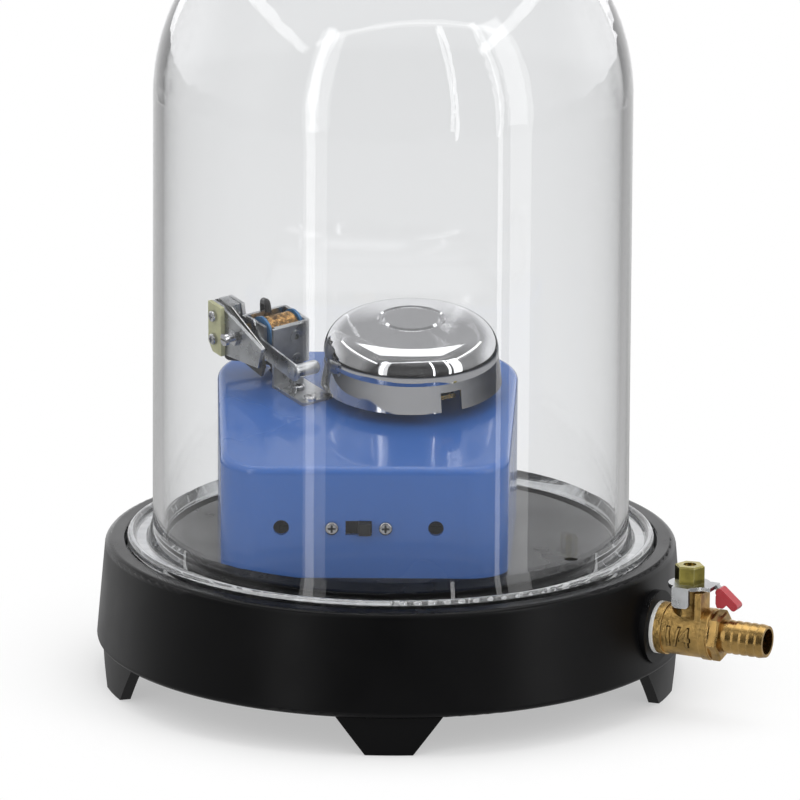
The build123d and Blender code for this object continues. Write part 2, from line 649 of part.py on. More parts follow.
with BuildPart() as lever_sleeve:
    with BuildSketch(GRIP_MID) as grip_side:
        with Locations(Location((TONGUE_MID[0], TONGUE_MID[1], 0), (0, 0, -LEVER_DROP))):
            with Locations((GRIP_END - GRIP_L / 2, 0)):
                Rectangle(GRIP_L, GRIP_T)
        fillet(grip_side.vertices(), radius=GRIP_ROUND)
    extrude(amount=GRIP_W / 2, both=True)
    # the cheek that the dipped grip carries on under its near side
    with BuildSketch(GRIP_MID.offset(GRIP_W / 2 - GRIP_CHEEK_T)) as grip_cheek:
        outline(*GRIP_CHEEK)
        fillet(grip_cheek.vertices(), radius=GRIP_CHEEK_ROUND)
    extrude(amount=GRIP_CHEEK_T)
    add(valve_lever.part, mode=Mode.SUBTRACT)
finish(lever_sleeve.part, "lever_sleeve")

with BuildPart() as lever_nut:
    with BuildSketch(stem_plane(NUT_Z)):
        RegularPolygon(NUT_AF / 2, 6, major_radius=False, rotation=NUT_TURN)
    extrude(amount=NUT_H)
    chamfer(faces().sort_by(Axis.Z)[-1].edges(), length=0.5)
    with BuildSketch(stem_plane(NUT_Z)):
        Circle(STEM_HOLE_R)
    extrude(amount=NUT_H, mode=Mode.SUBTRACT)
finish(lever_nut.part, "lever_nut")

# =================================== hose barb =========================================================
HEX_AT = BODY_END + BARB_WASHER_T
TAIL_AT = HEX_AT + HEX_L
BARB_TIP = TAIL_AT + TAIL_L
RIDGE_PITCH = (BARB_TIP - TAIL_AT - RIDGE_START) / BARB_RIDGES

with BuildPart() as barb_washer:
    with BuildSketch(valve_cross(BODY_END)):
        Circle(VALVE_BODY_R)
        Circle(SPIGOT_R + SCREW_FIT, mode=Mode.SUBTRACT)
    extrude(amount=BARB_WASHER_T)
finish(barb_washer.part, "barb_washer")

with BuildPart() as hose_barb:
    with BuildSketch(valve_cross(HEX_AT)):
        RegularPolygon(HEX_AF / 2, 6, major_radius=False, rotation=HEX_TURN)
    extrude(amount=HEX_L)
    chamfer(faces().sort_by(Axis(UP * VALVE_Z, RADIAL))[-1].edges(), length=0.7)
    with BuildSketch(VALVE_SIDE):
        outline((SEAT_TO, 0), (SEAT_TO, SPIGOT_R), (HEX_AT, SPIGOT_R), (HEX_AT, 0))
        outline((HEX_AT, 0), (HEX_AT, BARB_ROOT_R), (BARB_TIP, BARB_ROOT_R), (BARB_TIP, 0))
        for k in range(BARB_RIDGES):
            start = TAIL_AT + RIDGE_START + k * RIDGE_PITCH
            crest = start + RIDGE_PITCH * RIDGE_LEAN
            outline((start, BARB_ROOT_R), (start, BARB_R), (crest, BARB_R), (start + RIDGE_PITCH, BARB_ROOT_R))
    revolve(axis=VALVE_AXIS)
    with BuildSketch(valve_cross(SEAT_TO)):
        Circle(BARB_BORE_R)
    extrude(amount=BARB_TIP - SEAT_TO, mode=Mode.SUBTRACT)
finish(hose_barb.part, "hose_barb")

# =================================== battery box =======================================================
BOX_PLACE = Vector(BOX_X, BOX_FRONT_Y, PLATE_Z)
SLOPE = radians(BOX_SLOPE)
TOP = Plane(origin=BOX_PLACE + UP * BOX_FRONT_H, x_dir=(1, 0, 0), z_dir=(0, -sin(SLOPE), cos(SLOPE)))
FRONT = Plane(origin=BOX_PLACE + Vector(SWITCH_X, 0, FACE_ROW_H), x_dir=(1, 0, 0), z_dir=(0, -1, 0))
TURN = radians(MECH_TURN)
MECH = Plane(origin=TOP.from_local_coords((MECH_X, MECH_UP, 0)),
             x_dir=TOP.x_dir * cos(TURN) + TOP.y_dir * sin(TURN), z_dir=TOP.z_dir)
BOX_TALL = BOX_FRONT_H + BOX_DEPTH * tan(SLOPE) + BOX_WALL


def on_top(x, up, height=0.0):
    """Plane parallel to the sloping top, at a place on it and a height over it."""
    return Plane(origin=TOP.from_local_coords((x, up, height)), x_dir=TOP.x_dir, z_dir=TOP.z_dir)


def box_plan(inset):
    """The box's rounded plan, drawn in from its outside by a given distance."""
    with BuildSketch(Plane(origin=BOX_PLACE)) as plan:
        outline((-BOX_FRONT_W / 2, 0), (BOX_FRONT_W / 2, 0), (BOX_BACK_W / 2, BOX_DEPTH), (-BOX_BACK_W / 2, BOX_DEPTH))
        fillet(plan.vertices().group_by(Axis.Y)[0], radius=BOX_FRONT_ROUND)
        fillet(plan.vertices().group_by(Axis.Y)[-1], radius=BOX_BACK_ROUND)
        offset(amount=-inset, mode=Mode.REPLACE)
    return plan.sketch


CASE_POSTS = [(sign * (width / 2 - POST_INSET), y) for sign in (-1, 1)
              for width, y in ((BOX_FRONT_W, POST_INSET), (BOX_BACK_W, BOX_DEPTH - POST_INSET))]

with BuildPart() as box_hollow:
    extrude(box_plan(BOX_WALL), amount=BOX_TALL)
    split(bisect_by=TOP.offset(-BOX_WALL), keep=Keep.BOTTOM)
    with BuildSketch(Plane(origin=BOX_PLACE + UP * FLOOR_T)):
        with Locations(*CASE_POSTS):
            Circle(POST_R)
    extrude(amount=BOX_TALL, mode=Mode.SUBTRACT)

with BuildPart() as battery_box:
    extrude(box_plan(0), amount=BOX_TALL)
    split(bisect_by=TOP, keep=Keep.BOTTOM)
    fillet(faces().sort_by(Axis(TOP.origin, TOP.z_dir))[-1].edges(), radius=BOX_EDGE)
    add(box_hollow.part, mode=Mode.SUBTRACT)
    with BuildSketch(Plane(origin=BOX_PLACE + UP * FLOOR_T)):
        with Locations(*CASE_POSTS):
            Circle(CASE_SCREW_R + RUN_FIT)
    extrude(amount=CASE_SCREW_L, mode=Mode.SUBTRACT)
    with BuildSketch(FRONT):
        with GridLocations(2 * PORT_HOLE_X, 1, 2, 1):
            Circle(PORT_HOLE_R)
        Rectangle(SWITCH_WINDOW_W, SWITCH_WINDOW_H)
        with GridLocations(SWITCH_PITCH, 1, 2, 1):
            Circle(SWITCH_SCREW_R + SCREW_FIT)
    extrude(amount=-2 * BOX_WALL, mode=Mode.SUBTRACT)
    with BuildSketch(on_top(GONG_X, GONG_UP)):
        Circle(PILLAR_SPIGOT_R + SCREW_FIT)
    with BuildSketch(MECH):
        with Locations(*BRACKET_SCREWS):
            Circle(BRACKET_SCREW_R + RUN_FIT)
        with Locations(LEAD_HOLE):
            Circle(LEAD_HOLE_R)
    extrude(amount=-2 * BOX_WALL, mode=Mode.SUBTRACT)
finish(battery_box.part, "battery_box")

with BuildPart() as box_floor:
    extrude(box_plan(BOX_WALL + LOOSE_FIT), amount=FLOOR_T)
    with BuildSketch(Plane(origin=BOX_PLACE)):
        with Locations(*CASE_POSTS):
            Circle(CASE_SCREW_R + SCREW_FIT)
    extrude(amount=FLOOR_T, mode=Mode.SUBTRACT)
    with BuildSketch(Plane(origin=BOX_PLACE)):
        with Locations(*CASE_POSTS):
            Circle(CASE_HEAD_R + LOOSE_FIT)
    extrude(amount=CASE_SINK, mode=Mode.SUBTRACT)
finish(box_floor.part, "box_floor")

finish(pan_screws([Plane(origin=BOX_PLACE + Vector(x, y, CASE_SINK), x_dir=(1, 0, 0), z_dir=-UP)
                   for x, y in CASE_POSTS], CASE_HEAD_R, CASE_HEAD_T, CASE_SCREW_R, CASE_SCREW_L),
       "floor_screws")

# =================================== slide switch ======================================================
FRAME_AT = FRONT.offset(-BOX_WALL)
BODY_AT = FRONT.offset(-BOX_WALL - SWITCH_EAR_T)
KNOB_X = SWITCH_WINDOW_W / 2 - KNOB_GAP - KNOB_W / 2

with BuildPart() as switch_frame:
    with BuildSketch(FRAME_AT):
        Rectangle(SWITCH_FRAME_W, SWITCH_FRAME_H)
        Rectangle(SWITCH_WINDOW_W, SWITCH_WINDOW_H, mode=Mode.SUBTRACT)
        with GridLocations(SWITCH_PITCH, 1, 2, 1):
            Circle(SWITCH_SCREW_R + RUN_FIT, mode=Mode.SUBTRACT)
    extrude(amount=-SWITCH_EAR_T)
finish(switch_frame.part, "switch_frame")

with BuildPart() as switch_body:
    with BuildSketch(BODY_AT):
        Rectangle(SWITCH_BODY_W, SWITCH_FRAME_H)
    extrude(amount=-SWITCH_BODY_DEEP)
    with BuildSketch(BODY_AT):
        Rectangle(SWITCH_POCKET_W, SWITCH_POCKET_H)
    extrude(amount=-SWITCH_POCKET_DEEP, mode=Mode.SUBTRACT)
finish(switch_body.part, "switch_body")

with BuildPart() as switch_knob:
    with BuildSketch(BODY_AT.offset(-KNOB_LIFT)):
        with Locations((KNOB_X, 0)):
            Rectangle(KNOB_FLANGE_W, KNOB_FLANGE_H)
    extrude(amount=-KNOB_FLANGE_T)
    with BuildSketch(BODY_AT.offset(-KNOB_LIFT)):
        with Locations((KNOB_X, 0)):
            Rectangle(KNOB_W, KNOB_H)
    extrude(amount=KNOB_LIFT + SWITCH_EAR_T + BOX_WALL + KNOB_OUT)
    fillet(faces().sort_by(Axis.Y)[0].edges(), radius=KNOB_ROUND)
finish(switch_knob.part, "switch_knob")

finish(pan_screws([Plane(origin=FRONT.from_local_coords((sign * SWITCH_PITCH / 2, 0, 0)), x_dir=(1, 0, 0),
                         z_dir=(0, -1, 0)) for sign in (-1, 1)],
                  SWITCH_HEAD_R, SWITCH_HEAD_T, SWITCH_SCREW_R, SWITCH_SCREW_L), "switch_screws")

# =================================== battery tray and cells =============================================
CELL_PITCH = 2 * CELL_R + CELL_GAP
TRAY_W = CELL_COUNT * CELL_PITCH + 2 * TRAY_WALL
TRAY_L = CELL_L + SPRING_ROOM + 2 * CONTACT_T + 2 * TRAY_WALL
TRAY_AT = Plane(origin=BOX_PLACE + Vector(0, TRAY_BACK, FLOOR_T))
CELL_Z = TRAY_FLOOR + CELL_R
CELL_XS = [(k - (CELL_COUNT - 1) / 2) * CELL_PITCH for k in range(CELL_COUNT)]

with BuildPart() as battery_tray:
    with BuildSketch(TRAY_AT):
        Rectangle(TRAY_W, TRAY_L)
    extrude(amount=TRAY_H)
    with BuildSketch(TRAY_AT.offset(TRAY_FLOOR)):
        Rectangle(TRAY_W - 2 * TRAY_WALL, TRAY_L - 2 * TRAY_WALL)
    extrude(amount=TRAY_H, mode=Mode.SUBTRACT)
finish(battery_tray.part, "battery_tray")

with BuildPart() as battery_cells:
    for k, x in enumerate(CELL_XS):
        face = 1 if k % 2 else -1
        start = TRAY_AT.from_local_coords((x, face * (SPRING_ROOM - CELL_L) / 2, CELL_Z))
        along = Plane(origin=start, x_dir=(1, 0, 0), z_dir=(0, face, 0))
        with BuildSketch(along):
            Circle(CELL_R)
        extrude(amount=CELL_L - CELL_NUB_L)
        with BuildSketch(along.offset(CELL_L - CELL_NUB_L)):
            Circle(CELL_NUB_R)
        extrude(amount=CELL_NUB_L)
finish(battery_cells.part, "battery_cells")

with BuildPart() as cell_contacts:
    for k, x in enumerate(CELL_XS):
        face = 1 if k % 2 else -1
        for end in (-1, 1):
            wall = TRAY_AT.from_local_coords((x, end * (TRAY_L / 2 - TRAY_WALL), CELL_Z))
            inward = Plane(origin=wall, x_dir=(1, 0, 0), z_dir=(0, -end, 0))
            with BuildSketch(inward):
                Rectangle(CONTACT_W, CONTACT_H)
            extrude(amount=CONTACT_T)
            if end == -face:
                with BuildSketch(inward.offset(CONTACT_T)):
                    Circle(CONTACT_SPRING_R)
                with BuildSketch(inward.offset(CONTACT_T + SPRING_ROOM)):
                    Circle(CONTACT_TIP_R)
                loft()
finish(cell_contacts.part, "cell_contacts")

# =================================== gong ================================================================
GONG = on_top(GONG_X, GONG_UP, GONG_GAP)
GONG_SIDE = Plane(origin=GONG.origin, x_dir=(1, 0, 0), z_dir=-TOP.y_dir)
GONG_AXIS = Axis(GONG.origin, TOP.z_dir)
GONG_CREST = GONG_H - GONG_CROWN_DROP
GONG_STEP_Z = GONG_H - GONG_STEP_H
GONG_BEAD_Z = GONG_STEP_Z + GONG_BEAD_H
GONG_DISH_Z = GONG_H - GONG_DISH - GONG_T
GONG_WALL_R = GONG_R - GONG_SIDE_LEAN

with BuildPart() as gong:
    with BuildSketch(GONG_SIDE):
        with BuildLine():
            Polyline((0, GONG_H - GONG_T), (0, GONG_H), (GONG_DISC_R, GONG_H), (GONG_DISC_R + GONG_STEP_W, GONG_STEP_Z),
                     (GONG_RING_R - GONG_BEAD_W, GONG_STEP_Z), (GONG_RING_R, GONG_BEAD_Z),
                     (GONG_SHOULDER_R, GONG_CREST))
            TangentArc((GONG_SHOULDER_R, GONG_CREST), (GONG_WALL_R, GONG_SIDE_H),
                       tangent=(GONG_SHOULDER_R - GONG_RING_R, GONG_CREST - GONG_BEAD_Z))
            Polyline((GONG_WALL_R, GONG_SIDE_H), (GONG_R, 0), (GONG_R - GONG_T, 0),
                     (GONG_WALL_R - GONG_T, GONG_SIDE_H))
            TangentArc((GONG_WALL_R - GONG_T, GONG_SIDE_H), (GONG_SHOULDER_R, GONG_CREST - GONG_T),
                       tangent=(-GONG_SIDE_LEAN, GONG_SIDE_H))
            Polyline((GONG_SHOULDER_R, GONG_CREST - GONG_T), (GONG_RING_R, GONG_DISH_Z), (GONG_DISC_R, GONG_DISH_Z),
                     (GONG_DISC_R - GONG_STEP_W, GONG_H - GONG_T), (0, GONG_H - GONG_T))
        make_face()
    revolve(axis=GONG_AXIS)
    with BuildSketch(GONG):
        with PolarLocations(GONG_R, 1, start_angle=NOTCH_AZ):
            Rectangle(GONG_R / 2, NOTCH_W)
    extrude(amount=NOTCH_H, mode=Mode.SUBTRACT)
finish(gong.part, "gong")

with BuildPart() as gong_pillar:
    with BuildSketch(on_top(GONG_X, GONG_UP)):
        Circle(PILLAR_R)
    extrude(amount=GONG_GAP + GONG_H - GONG_T)
    with BuildSketch(on_top(GONG_X, GONG_UP)):
        Circle(PILLAR_SPIGOT_R)
    extrude(amount=-PILLAR_SPIGOT_L)
finish(gong_pillar.part, "gong_pillar")

with BuildPart() as gong_nut:
    with BuildSketch(on_top(GONG_X, GONG_UP, -BOX_WALL)):
        RegularPolygon(GONG_NUT_AF / 2, 6, major_radius=False)
        Circle(PILLAR_SPIGOT_R + RUN_FIT, mode=Mode.SUBTRACT)
    extrude(amount=-GONG_NUT_T)
finish(gong_nut.part, "gong_nut")

with BuildPart() as gong_bridge:
    with BuildSketch(GONG.offset(BRIDGE_H)):
        Circle(PILLAR_R + BRIDGE_RING_W)
        with PolarLocations(BRIDGE_REACH / 2, 1, start_angle=NOTCH_AZ):
            Rectangle(BRIDGE_REACH, BRIDGE_W)
        Circle(PILLAR_R + RUN_FIT, mode=Mode.SUBTRACT)
    extrude(amount=BRIDGE_T)
finish(gong_bridge.part, "gong_bridge")

# =================================== striker ===========================================================

ALONG = Axis(MECH.origin, MECH.x_dir)
BACKWARD = Axis(MECH.origin, MECH.y_dir)
NORMAL = Axis(MECH.origin, MECH.z_dir)


def across(x):
    """Plane square to the coil's axis, sketched in (back, up) and extruded along the coil."""
    return Plane(origin=MECH.from_local_coords((x, 0, 0)), x_dir=MECH.y_dir, z_dir=MECH.x_dir)


def over(height):
    """Plane parallel to the box top, in the striker's own place."""
    return MECH.offset(height)


def behind(y):
    """Plane square to the top and along the coil, sketched in (along, up), extruded to the front."""
    return Plane(origin=MECH.from_local_coords((0, y, 0)), x_dir=MECH.x_dir, z_dir=-MECH.y_dir)


YOKE_IN_W = YOKE_W - 2 * YOKE_T
YOKE_H = YOKE_TOP - YOKE_LOW
YOKE_MID = (YOKE_LOW + YOKE_TOP) / 2
END_X = YOKE_L - YOKE_T

with BuildPart() as yoke:
    with BuildSketch(over(YOKE_LOW)):
        outline((0, -YOKE_W / 2), (YOKE_L, -YOKE_W / 2), (YOKE_L, YOKE_W / 2), (TAB_X - YOKE_T / 2, YOKE_W / 2),
                (TAB_X - YOKE_T / 2, YOKE_IN_W / 2), (END_X, YOKE_IN_W / 2), (END_X, -YOKE_IN_W / 2),
                (0, -YOKE_IN_W / 2))
    extrude(amount=YOKE_H)
    fillet(edges().filter_by(NORMAL).group_by(ALONG)[-1], radius=YOKE_BEND)
    with BuildSketch(across(TAB_X - YOKE_T / 2)):
        outline((YOKE_IN_W / 2, YOKE_LOW), (YOKE_W / 2, YOKE_LOW), (TAB_REACH, PILE_LOW), (TAB_REACH, PILE_TOP),
                (PILE_FRONT, PILE_TOP), (YOKE_W / 2, YOKE_TOP), (YOKE_IN_W / 2, YOKE_TOP))
    extrude(amount=YOKE_T)
    with BuildSketch(across(END_X)):
        with Locations((0, COIL_Z)):
            Circle(CORE_SCREW_R + SCREW_FIT)
    extrude(amount=YOKE_T, mode=Mode.SUBTRACT)
    with BuildSketch(across(TAB_X - YOKE_T / 2)):
        with Locations(*[(PILE_Y, z) for z in PILE_SCREW_Z]):
            Circle(PILE_SCREW_R + SCREW_FIT)
    extrude(amount=YOKE_T, mode=Mode.SUBTRACT)
    with BuildSketch(behind(-YOKE_IN_W / 2)):
        with Locations(*RIVET_PLACES):
            Circle(RIVET_SHANK_R + RUN_FIT)
    extrude(amount=YOKE_T, mode=Mode.SUBTRACT)
finish(yoke.part, "yoke")

BRACKET_IN = -YOKE_W / 2
BRACKET_OUT = BRACKET_IN - FOOT_T

with BuildPart() as foot_bracket:
    with BuildSketch(behind(BRACKET_IN)):
        with Locations((FOOT_X0 + FOOT_W / 2, YOKE_TOP / 2)):
            Rectangle(FOOT_W, YOKE_TOP)
        with Locations(*RIVET_PLACES):
            Circle(RIVET_SHANK_R + RUN_FIT, mode=Mode.SUBTRACT)
    extrude(amount=FOOT_T)
    with BuildSketch(over(0)):
        with Locations((FOOT_X0 + FOOT_W / 2, BRACKET_OUT - FOOT_LEN / 2)):
            Rectangle(FOOT_W, FOOT_LEN)
    extrude(amount=FOOT_T)
    fillet(edges().filter_by(NORMAL).sort_by(BACKWARD)[0:2], radius=FOOT_ROUND)
    with BuildSketch(over(0)):
        with Locations(*BRACKET_SCREWS):
            Circle(BRACKET_SCREW_R + SCREW_FIT)
    extrude(amount=FOOT_T, mode=Mode.SUBTRACT)
finish(foot_bracket.part, "foot_bracket")

finish(pan_screws([over(FOOT_T).shift_origin(over(FOOT_T).from_local_coords((x, y, 0))) for x, y in BRACKET_SCREWS],
                  BRACKET_HEAD_R, BRACKET_HEAD_T, BRACKET_SCREW_R, BRACKET_SCREW_L), "bracket_screws")

with BuildPart() as yoke_rivets:
    for x, z in RIVET_PLACES:
        with BuildSketch(behind(BRACKET_OUT)):
            with Locations((x, z)):
                Circle(RIVET_R)
        extrude(amount=RIVET_FLANGE_T)
        with BuildSketch(behind(-YOKE_IN_W / 2)):
            with Locations((x, z)):
                Circle(RIVET_SHANK_R)
        extrude(amount=YOKE_T + FOOT_T)
        with BuildSketch(behind(BRACKET_OUT - RIVET_FLANGE_T)):
            with Locations((x, z)):
                Circle(RIVET_SHANK_R - RIVET_FLANGE_T)
        extrude(amount=-RIVET_PIT, mode=Mode.SUBTRACT)
finish(yoke_rivets.part, "yoke_rivets")

BOBBIN_START = END_X - BOBBIN_L

with BuildPart() as coil_bobbin:
    with BuildSketch(across(BOBBIN_START)):
        with Locations((0, COIL_Z)):
            Circle(TUBE_R)
    extrude(amount=BOBBIN_L)
    with BuildSketch(across(BOBBIN_START), across(END_X - CHEEK_T)):
        with Locations((0, COIL_Z)):
            Circle(CHEEK_R)
    extrude(amount=CHEEK_T)
    with BuildSketch(across(BOBBIN_START)):
        with Locations((0, COIL_Z)):
            Circle(CORE_R + RUN_FIT)
    extrude(amount=BOBBIN_L, mode=Mode.SUBTRACT)
finish(coil_bobbin.part, "coil_bobbin")

with BuildPart() as coil_winding:
    with BuildSketch(across(BOBBIN_START + CHEEK_T)):
        with Locations((0, COIL_Z)):
            Circle(COIL_R)
            Circle(TUBE_R, mode=Mode.SUBTRACT)
    extrude(amount=BOBBIN_L - 2 * CHEEK_T)
finish(coil_winding.part, "coil_winding")

with BuildPart() as coil_core:
    with BuildSketch(across(BOBBIN_START - CORE_OUT)):
        with Locations((0, COIL_Z)):
            Circle(CORE_R)
    extrude(amount=BOBBIN_L + CORE_OUT)
    with BuildSketch(across(END_X)):
        with Locations((0, COIL_Z)):
            Circle(CORE_SCREW_R + RUN_FIT)
    extrude(amount=-CORE_SCREW_L, mode=Mode.SUBTRACT)
finish(coil_core.part, "coil_core")

CORE_SCREW_AT = across(YOKE_L)
finish(pan_screws([CORE_SCREW_AT.shift_origin(CORE_SCREW_AT.from_local_coords((0, COIL_Z, 0)))],
                  CORE_HEAD_R, CORE_HEAD_T, CORE_SCREW_R, CORE_SCREW_L), "core_screw")

# hammer: the arm on the leaf spring's free side, its iron pad before the core, and its head
ARM_X = PAD_X - PAD_T - ARM_T
LEAF_X = ARM_X - LEAF_T
GONG_LOCAL = MECH.to_local_coords(GONG.origin)
HEAD_BACK = GONG_LOCAL.Y - HEAD_Y
HEAD_TIP_X = GONG_LOCAL.X - sqrt((GONG_R + HEAD_GAP) ** 2 - HEAD_BACK ** 2)

with BuildPart() as hammer_arm:
    with BuildSketch(across(ARM_X)):
        outline(*ARM_OUTLINE)
        with Locations((HEAD_Y, HEAD_Z)):
            Circle(ARM_EYE_R)
            Circle(HEAD_SPIGOT_R + RUN_FIT, mode=Mode.SUBTRACT)
        with Locations(*SPRING_RIVETS):
            Circle(SPRING_RIVET_R + RUN_FIT, mode=Mode.SUBTRACT)
    extrude(amount=ARM_T)
finish(hammer_arm.part, "hammer_arm")

with BuildPart() as armature_pad:
    with BuildSketch(across(ARM_X + ARM_T)):
        with Locations((0, COIL_Z)):
            Rectangle(PAD_W, PAD_H)
        with Locations(*SPRING_RIVETS):
            Circle(SPRING_RIVET_R + RUN_FIT, mode=Mode.SUBTRACT)
    extrude(amount=PAD_T)
finish(armature_pad.part, "armature_pad")

with BuildPart() as spring_rivets:
    for y, z in SPRING_RIVETS:
        with BuildSketch(across(LEAF_X - LEAF_HEAD_GAP)):
            with Locations((y, z)):
                Circle(SPRING_RIVET_R)
        extrude(amount=LEAF_HEAD_GAP + LEAF_T + ARM_T + PAD_T)
        with BuildSketch(across(LEAF_X - LEAF_HEAD_GAP)):
            with Locations((y, z)):
                Circle(SPRING_HEAD_R)
        extrude(amount=-LEAF_T)
finish(spring_rivets.part, "spring_rivets")

with BuildPart() as hammer_head:
    with BuildSketch(across(ARM_X + ARM_T)):
        with Locations((HEAD_Y, HEAD_Z)):
            Circle(HEAD_R)
    extrude(amount=HEAD_TIP_X - ARM_X - ARM_T)
    fillet(edges().filter_by(GeomType.CIRCLE).sort_by(ALONG)[-1], radius=HEAD_NOSE)
    with BuildSketch(across(ARM_X)):
        with Locations((HEAD_Y, HEAD_Z)):
            Circle(HEAD_SPIGOT_R)
    extrude(amount=ARM_T)
    with BuildSketch(across(ARM_X)):
        with Locations((HEAD_Y, HEAD_Z)):
            Circle(HEAD_BUTTON_R)
    extrude(amount=-HEAD_BUTTON_T)
finish(hammer_head.part, "hammer_head")

# contact pile, from the arm's leaf spring outwards: leaf, spacer, contact leaf, sheet, plate, fibre
SPACER_X = LEAF_X - SPACER_T
CONTACT_LEAF_X = SPACER_X - LEAF_T
SHEET_X = CONTACT_LEAF_X - SHEET_T
PLATE_X = SHEET_X - PLATE_TRI_T
FIBRE_X = PLATE_X - FIBRE_T
PILE_HOLES = [(PILE_Y, z) for z in PILE_SCREW_Z]

with BuildPart() as leaf_spring:
    with BuildSketch(across(LEAF_X)):
        outline((LEAF_FREE_Y, LEAF_LOW), (TAB_REACH, LEAF_LOW), (TAB_REACH, YOKE_TOP), (LEAF_FREE_Y, YOKE_TOP))
        with Locations(*SPRING_RIVETS):
            Circle(SPRING_RIVET_R + LOOSE_FIT, mode=Mode.SUBTRACT)
        with Locations(*PILE_HOLES):
            Circle(PILE_SCREW_R + SCREW_FIT, mode=Mode.SUBTRACT)
    extrude(amount=LEAF_T)
finish(leaf_spring.part, "leaf_spring")

with BuildPart() as pile_spacer:
    with BuildSketch(across(SPACER_X)):
        outline((PILE_FRONT, PILE_LOW), (TAB_REACH, PILE_LOW), (TAB_REACH, PILE_TOP), (PILE_FRONT, PILE_TOP))
        with Locations(*PILE_HOLES):
            Circle(PILE_SCREW_R + SCREW_FIT, mode=Mode.SUBTRACT)
    extrude(amount=SPACER_T)
finish(pile_spacer.part, "pile_spacer")

with BuildPart() as contact_leaf:
    with BuildSketch(across(CONTACT_LEAF_X)):
        outline(*CONTACT_LEAF_OUTLINE)
        with Locations(*PILE_HOLES):
            Circle(PILE_SCREW_R + SCREW_FIT, mode=Mode.SUBTRACT)
    extrude(amount=LEAF_T)
finish(contact_leaf.part, "contact_leaf")

with BuildPart() as insulating_sheet:
    with BuildSketch(across(SHEET_X)):
        outline(*SHEET_OUTLINE)
        with Locations(*PILE_HOLES):
            Circle(PILE_SCREW_R + SCREW_FIT, mode=Mode.SUBTRACT)
        with Locations((CONTACT_Y, CONTACT_Z)):
            Circle(SHEET_HOLE_R, mode=Mode.SUBTRACT)
    extrude(amount=SHEET_T)
finish(insulating_sheet.part, "insulating_sheet")

with BuildPart() as contact_plate:
    with BuildSketch(across(PLATE_X)):
        outline(*PLATE_OUTLINE)
        with Locations(*PILE_HOLES):
            Circle(PILE_SCREW_R + SCREW_FIT, mode=Mode.SUBTRACT)
        with Locations((CONTACT_Y, CONTACT_Z)):
            Circle(CONTACT_R + RUN_FIT, mode=Mode.SUBTRACT)
    extrude(amount=PLATE_TRI_T)
finish(contact_plate.part, "contact_plate")

with BuildPart() as fibre_plate:
    with BuildSketch(across(FIBRE_X)):
        outline((PILE_FRONT, PILE_TOP), (PILE_FRONT, FIBRE_LOW), (TAB_REACH - FIBRE_CUT, FIBRE_LOW),
                (TAB_REACH, FIBRE_LOW + FIBRE_CUT), (TAB_REACH, PILE_TOP))
        with Locations(*PILE_HOLES):
            Circle(PILE_SCREW_R + SCREW_FIT, mode=Mode.SUBTRACT)
    extrude(amount=FIBRE_T)
finish(fibre_plate.part, "fibre_plate")

PILE_HEADS = [Plane(origin=MECH.from_local_coords((FIBRE_X, y, z)), x_dir=MECH.y_dir, z_dir=-MECH.x_dir)
              for y, z in PILE_HOLES]
finish(pan_screws(PILE_HEADS, PILE_HEAD_R, PILE_HEAD_T, PILE_SCREW_R, TAB_X + YOKE_T / 2 + PILE_NUT_T - FIBRE_X),
       "pile_screws")

with BuildPart() as pile_nuts:
    for y, z in PILE_HOLES:
        with BuildSketch(across(TAB_X + YOKE_T / 2)):
            with Locations((y, z)):
                RegularPolygon(PILE_NUT_AF / 2, 6, major_radius=False)
                Circle(PILE_SCREW_R + RUN_FIT, mode=Mode.SUBTRACT)
        extrude(amount=PILE_NUT_T)
finish(pile_nuts.part, "pile_nuts")

with BuildPart() as contact_screw:
    with BuildSketch(across(CONTACT_LEAF_X)):
        with Locations((CONTACT_Y, CONTACT_Z)):
            Circle(CONTACT_R)
    extrude(amount=-CONTACT_SCREW_L)
    with BuildSketch(across(CONTACT_LEAF_X - CONTACT_SCREW_L)):
        with Locations((CONTACT_Y, CONTACT_Z)):
            Circle(CONTACT_HEAD_R)
            Rectangle(2 * CONTACT_HEAD_R, CONTACT_SLOT_W, mode=Mode.SUBTRACT)
    extrude(amount=-CONTACT_HEAD_T)
finish(contact_screw.part, "contact_screw")

with BuildPart() as contact_nut:
    with BuildSketch(across(PLATE_X)):
        with Locations((CONTACT_Y, CONTACT_Z)):
            RegularPolygon(CONTACT_NUT_AF / 2, 6, major_radius=False)
            Circle(CONTACT_R + RUN_FIT, mode=Mode.SUBTRACT)
    extrude(amount=-CONTACT_NUT_T)
finish(contact_nut.part, "contact_nut")


def lead(path, radius):
    """Insulated lead run through a list of places, with rounded bends."""
    with BuildPart() as wire:
        with BuildLine() as run:
            FilletPolyline(*[MECH.from_local_coords(place) for place in path], radius=LEAD_BEND)
        with BuildSketch(Plane(origin=run.line @ 0, z_dir=run.line % 0)):
            Circle(radius)
        sweep()
    return wire.part


finish(lead(SLEEVE_PATH, LEAD_SLEEVE_R), "lead_sleeve")
finish(lead(CONTACT_LEAD_PATH, LEAD_R), "contact_lead")
finish(lead(COIL_LEAD_PATH, LEAD_R), "coil_lead")
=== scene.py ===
"""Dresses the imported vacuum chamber: finishes, fine pieces, studio light and camera.

The chamber is a black footed base with a ball valve, a clear bell jar, and an electric bell
that stands inside the jar on its blue battery box. All sizes are in metres, in the row's frame.
"""
import json
import logging
import math
from dataclasses import dataclass
from enum import Enum

import bpy
from mathutils import Matrix, Vector

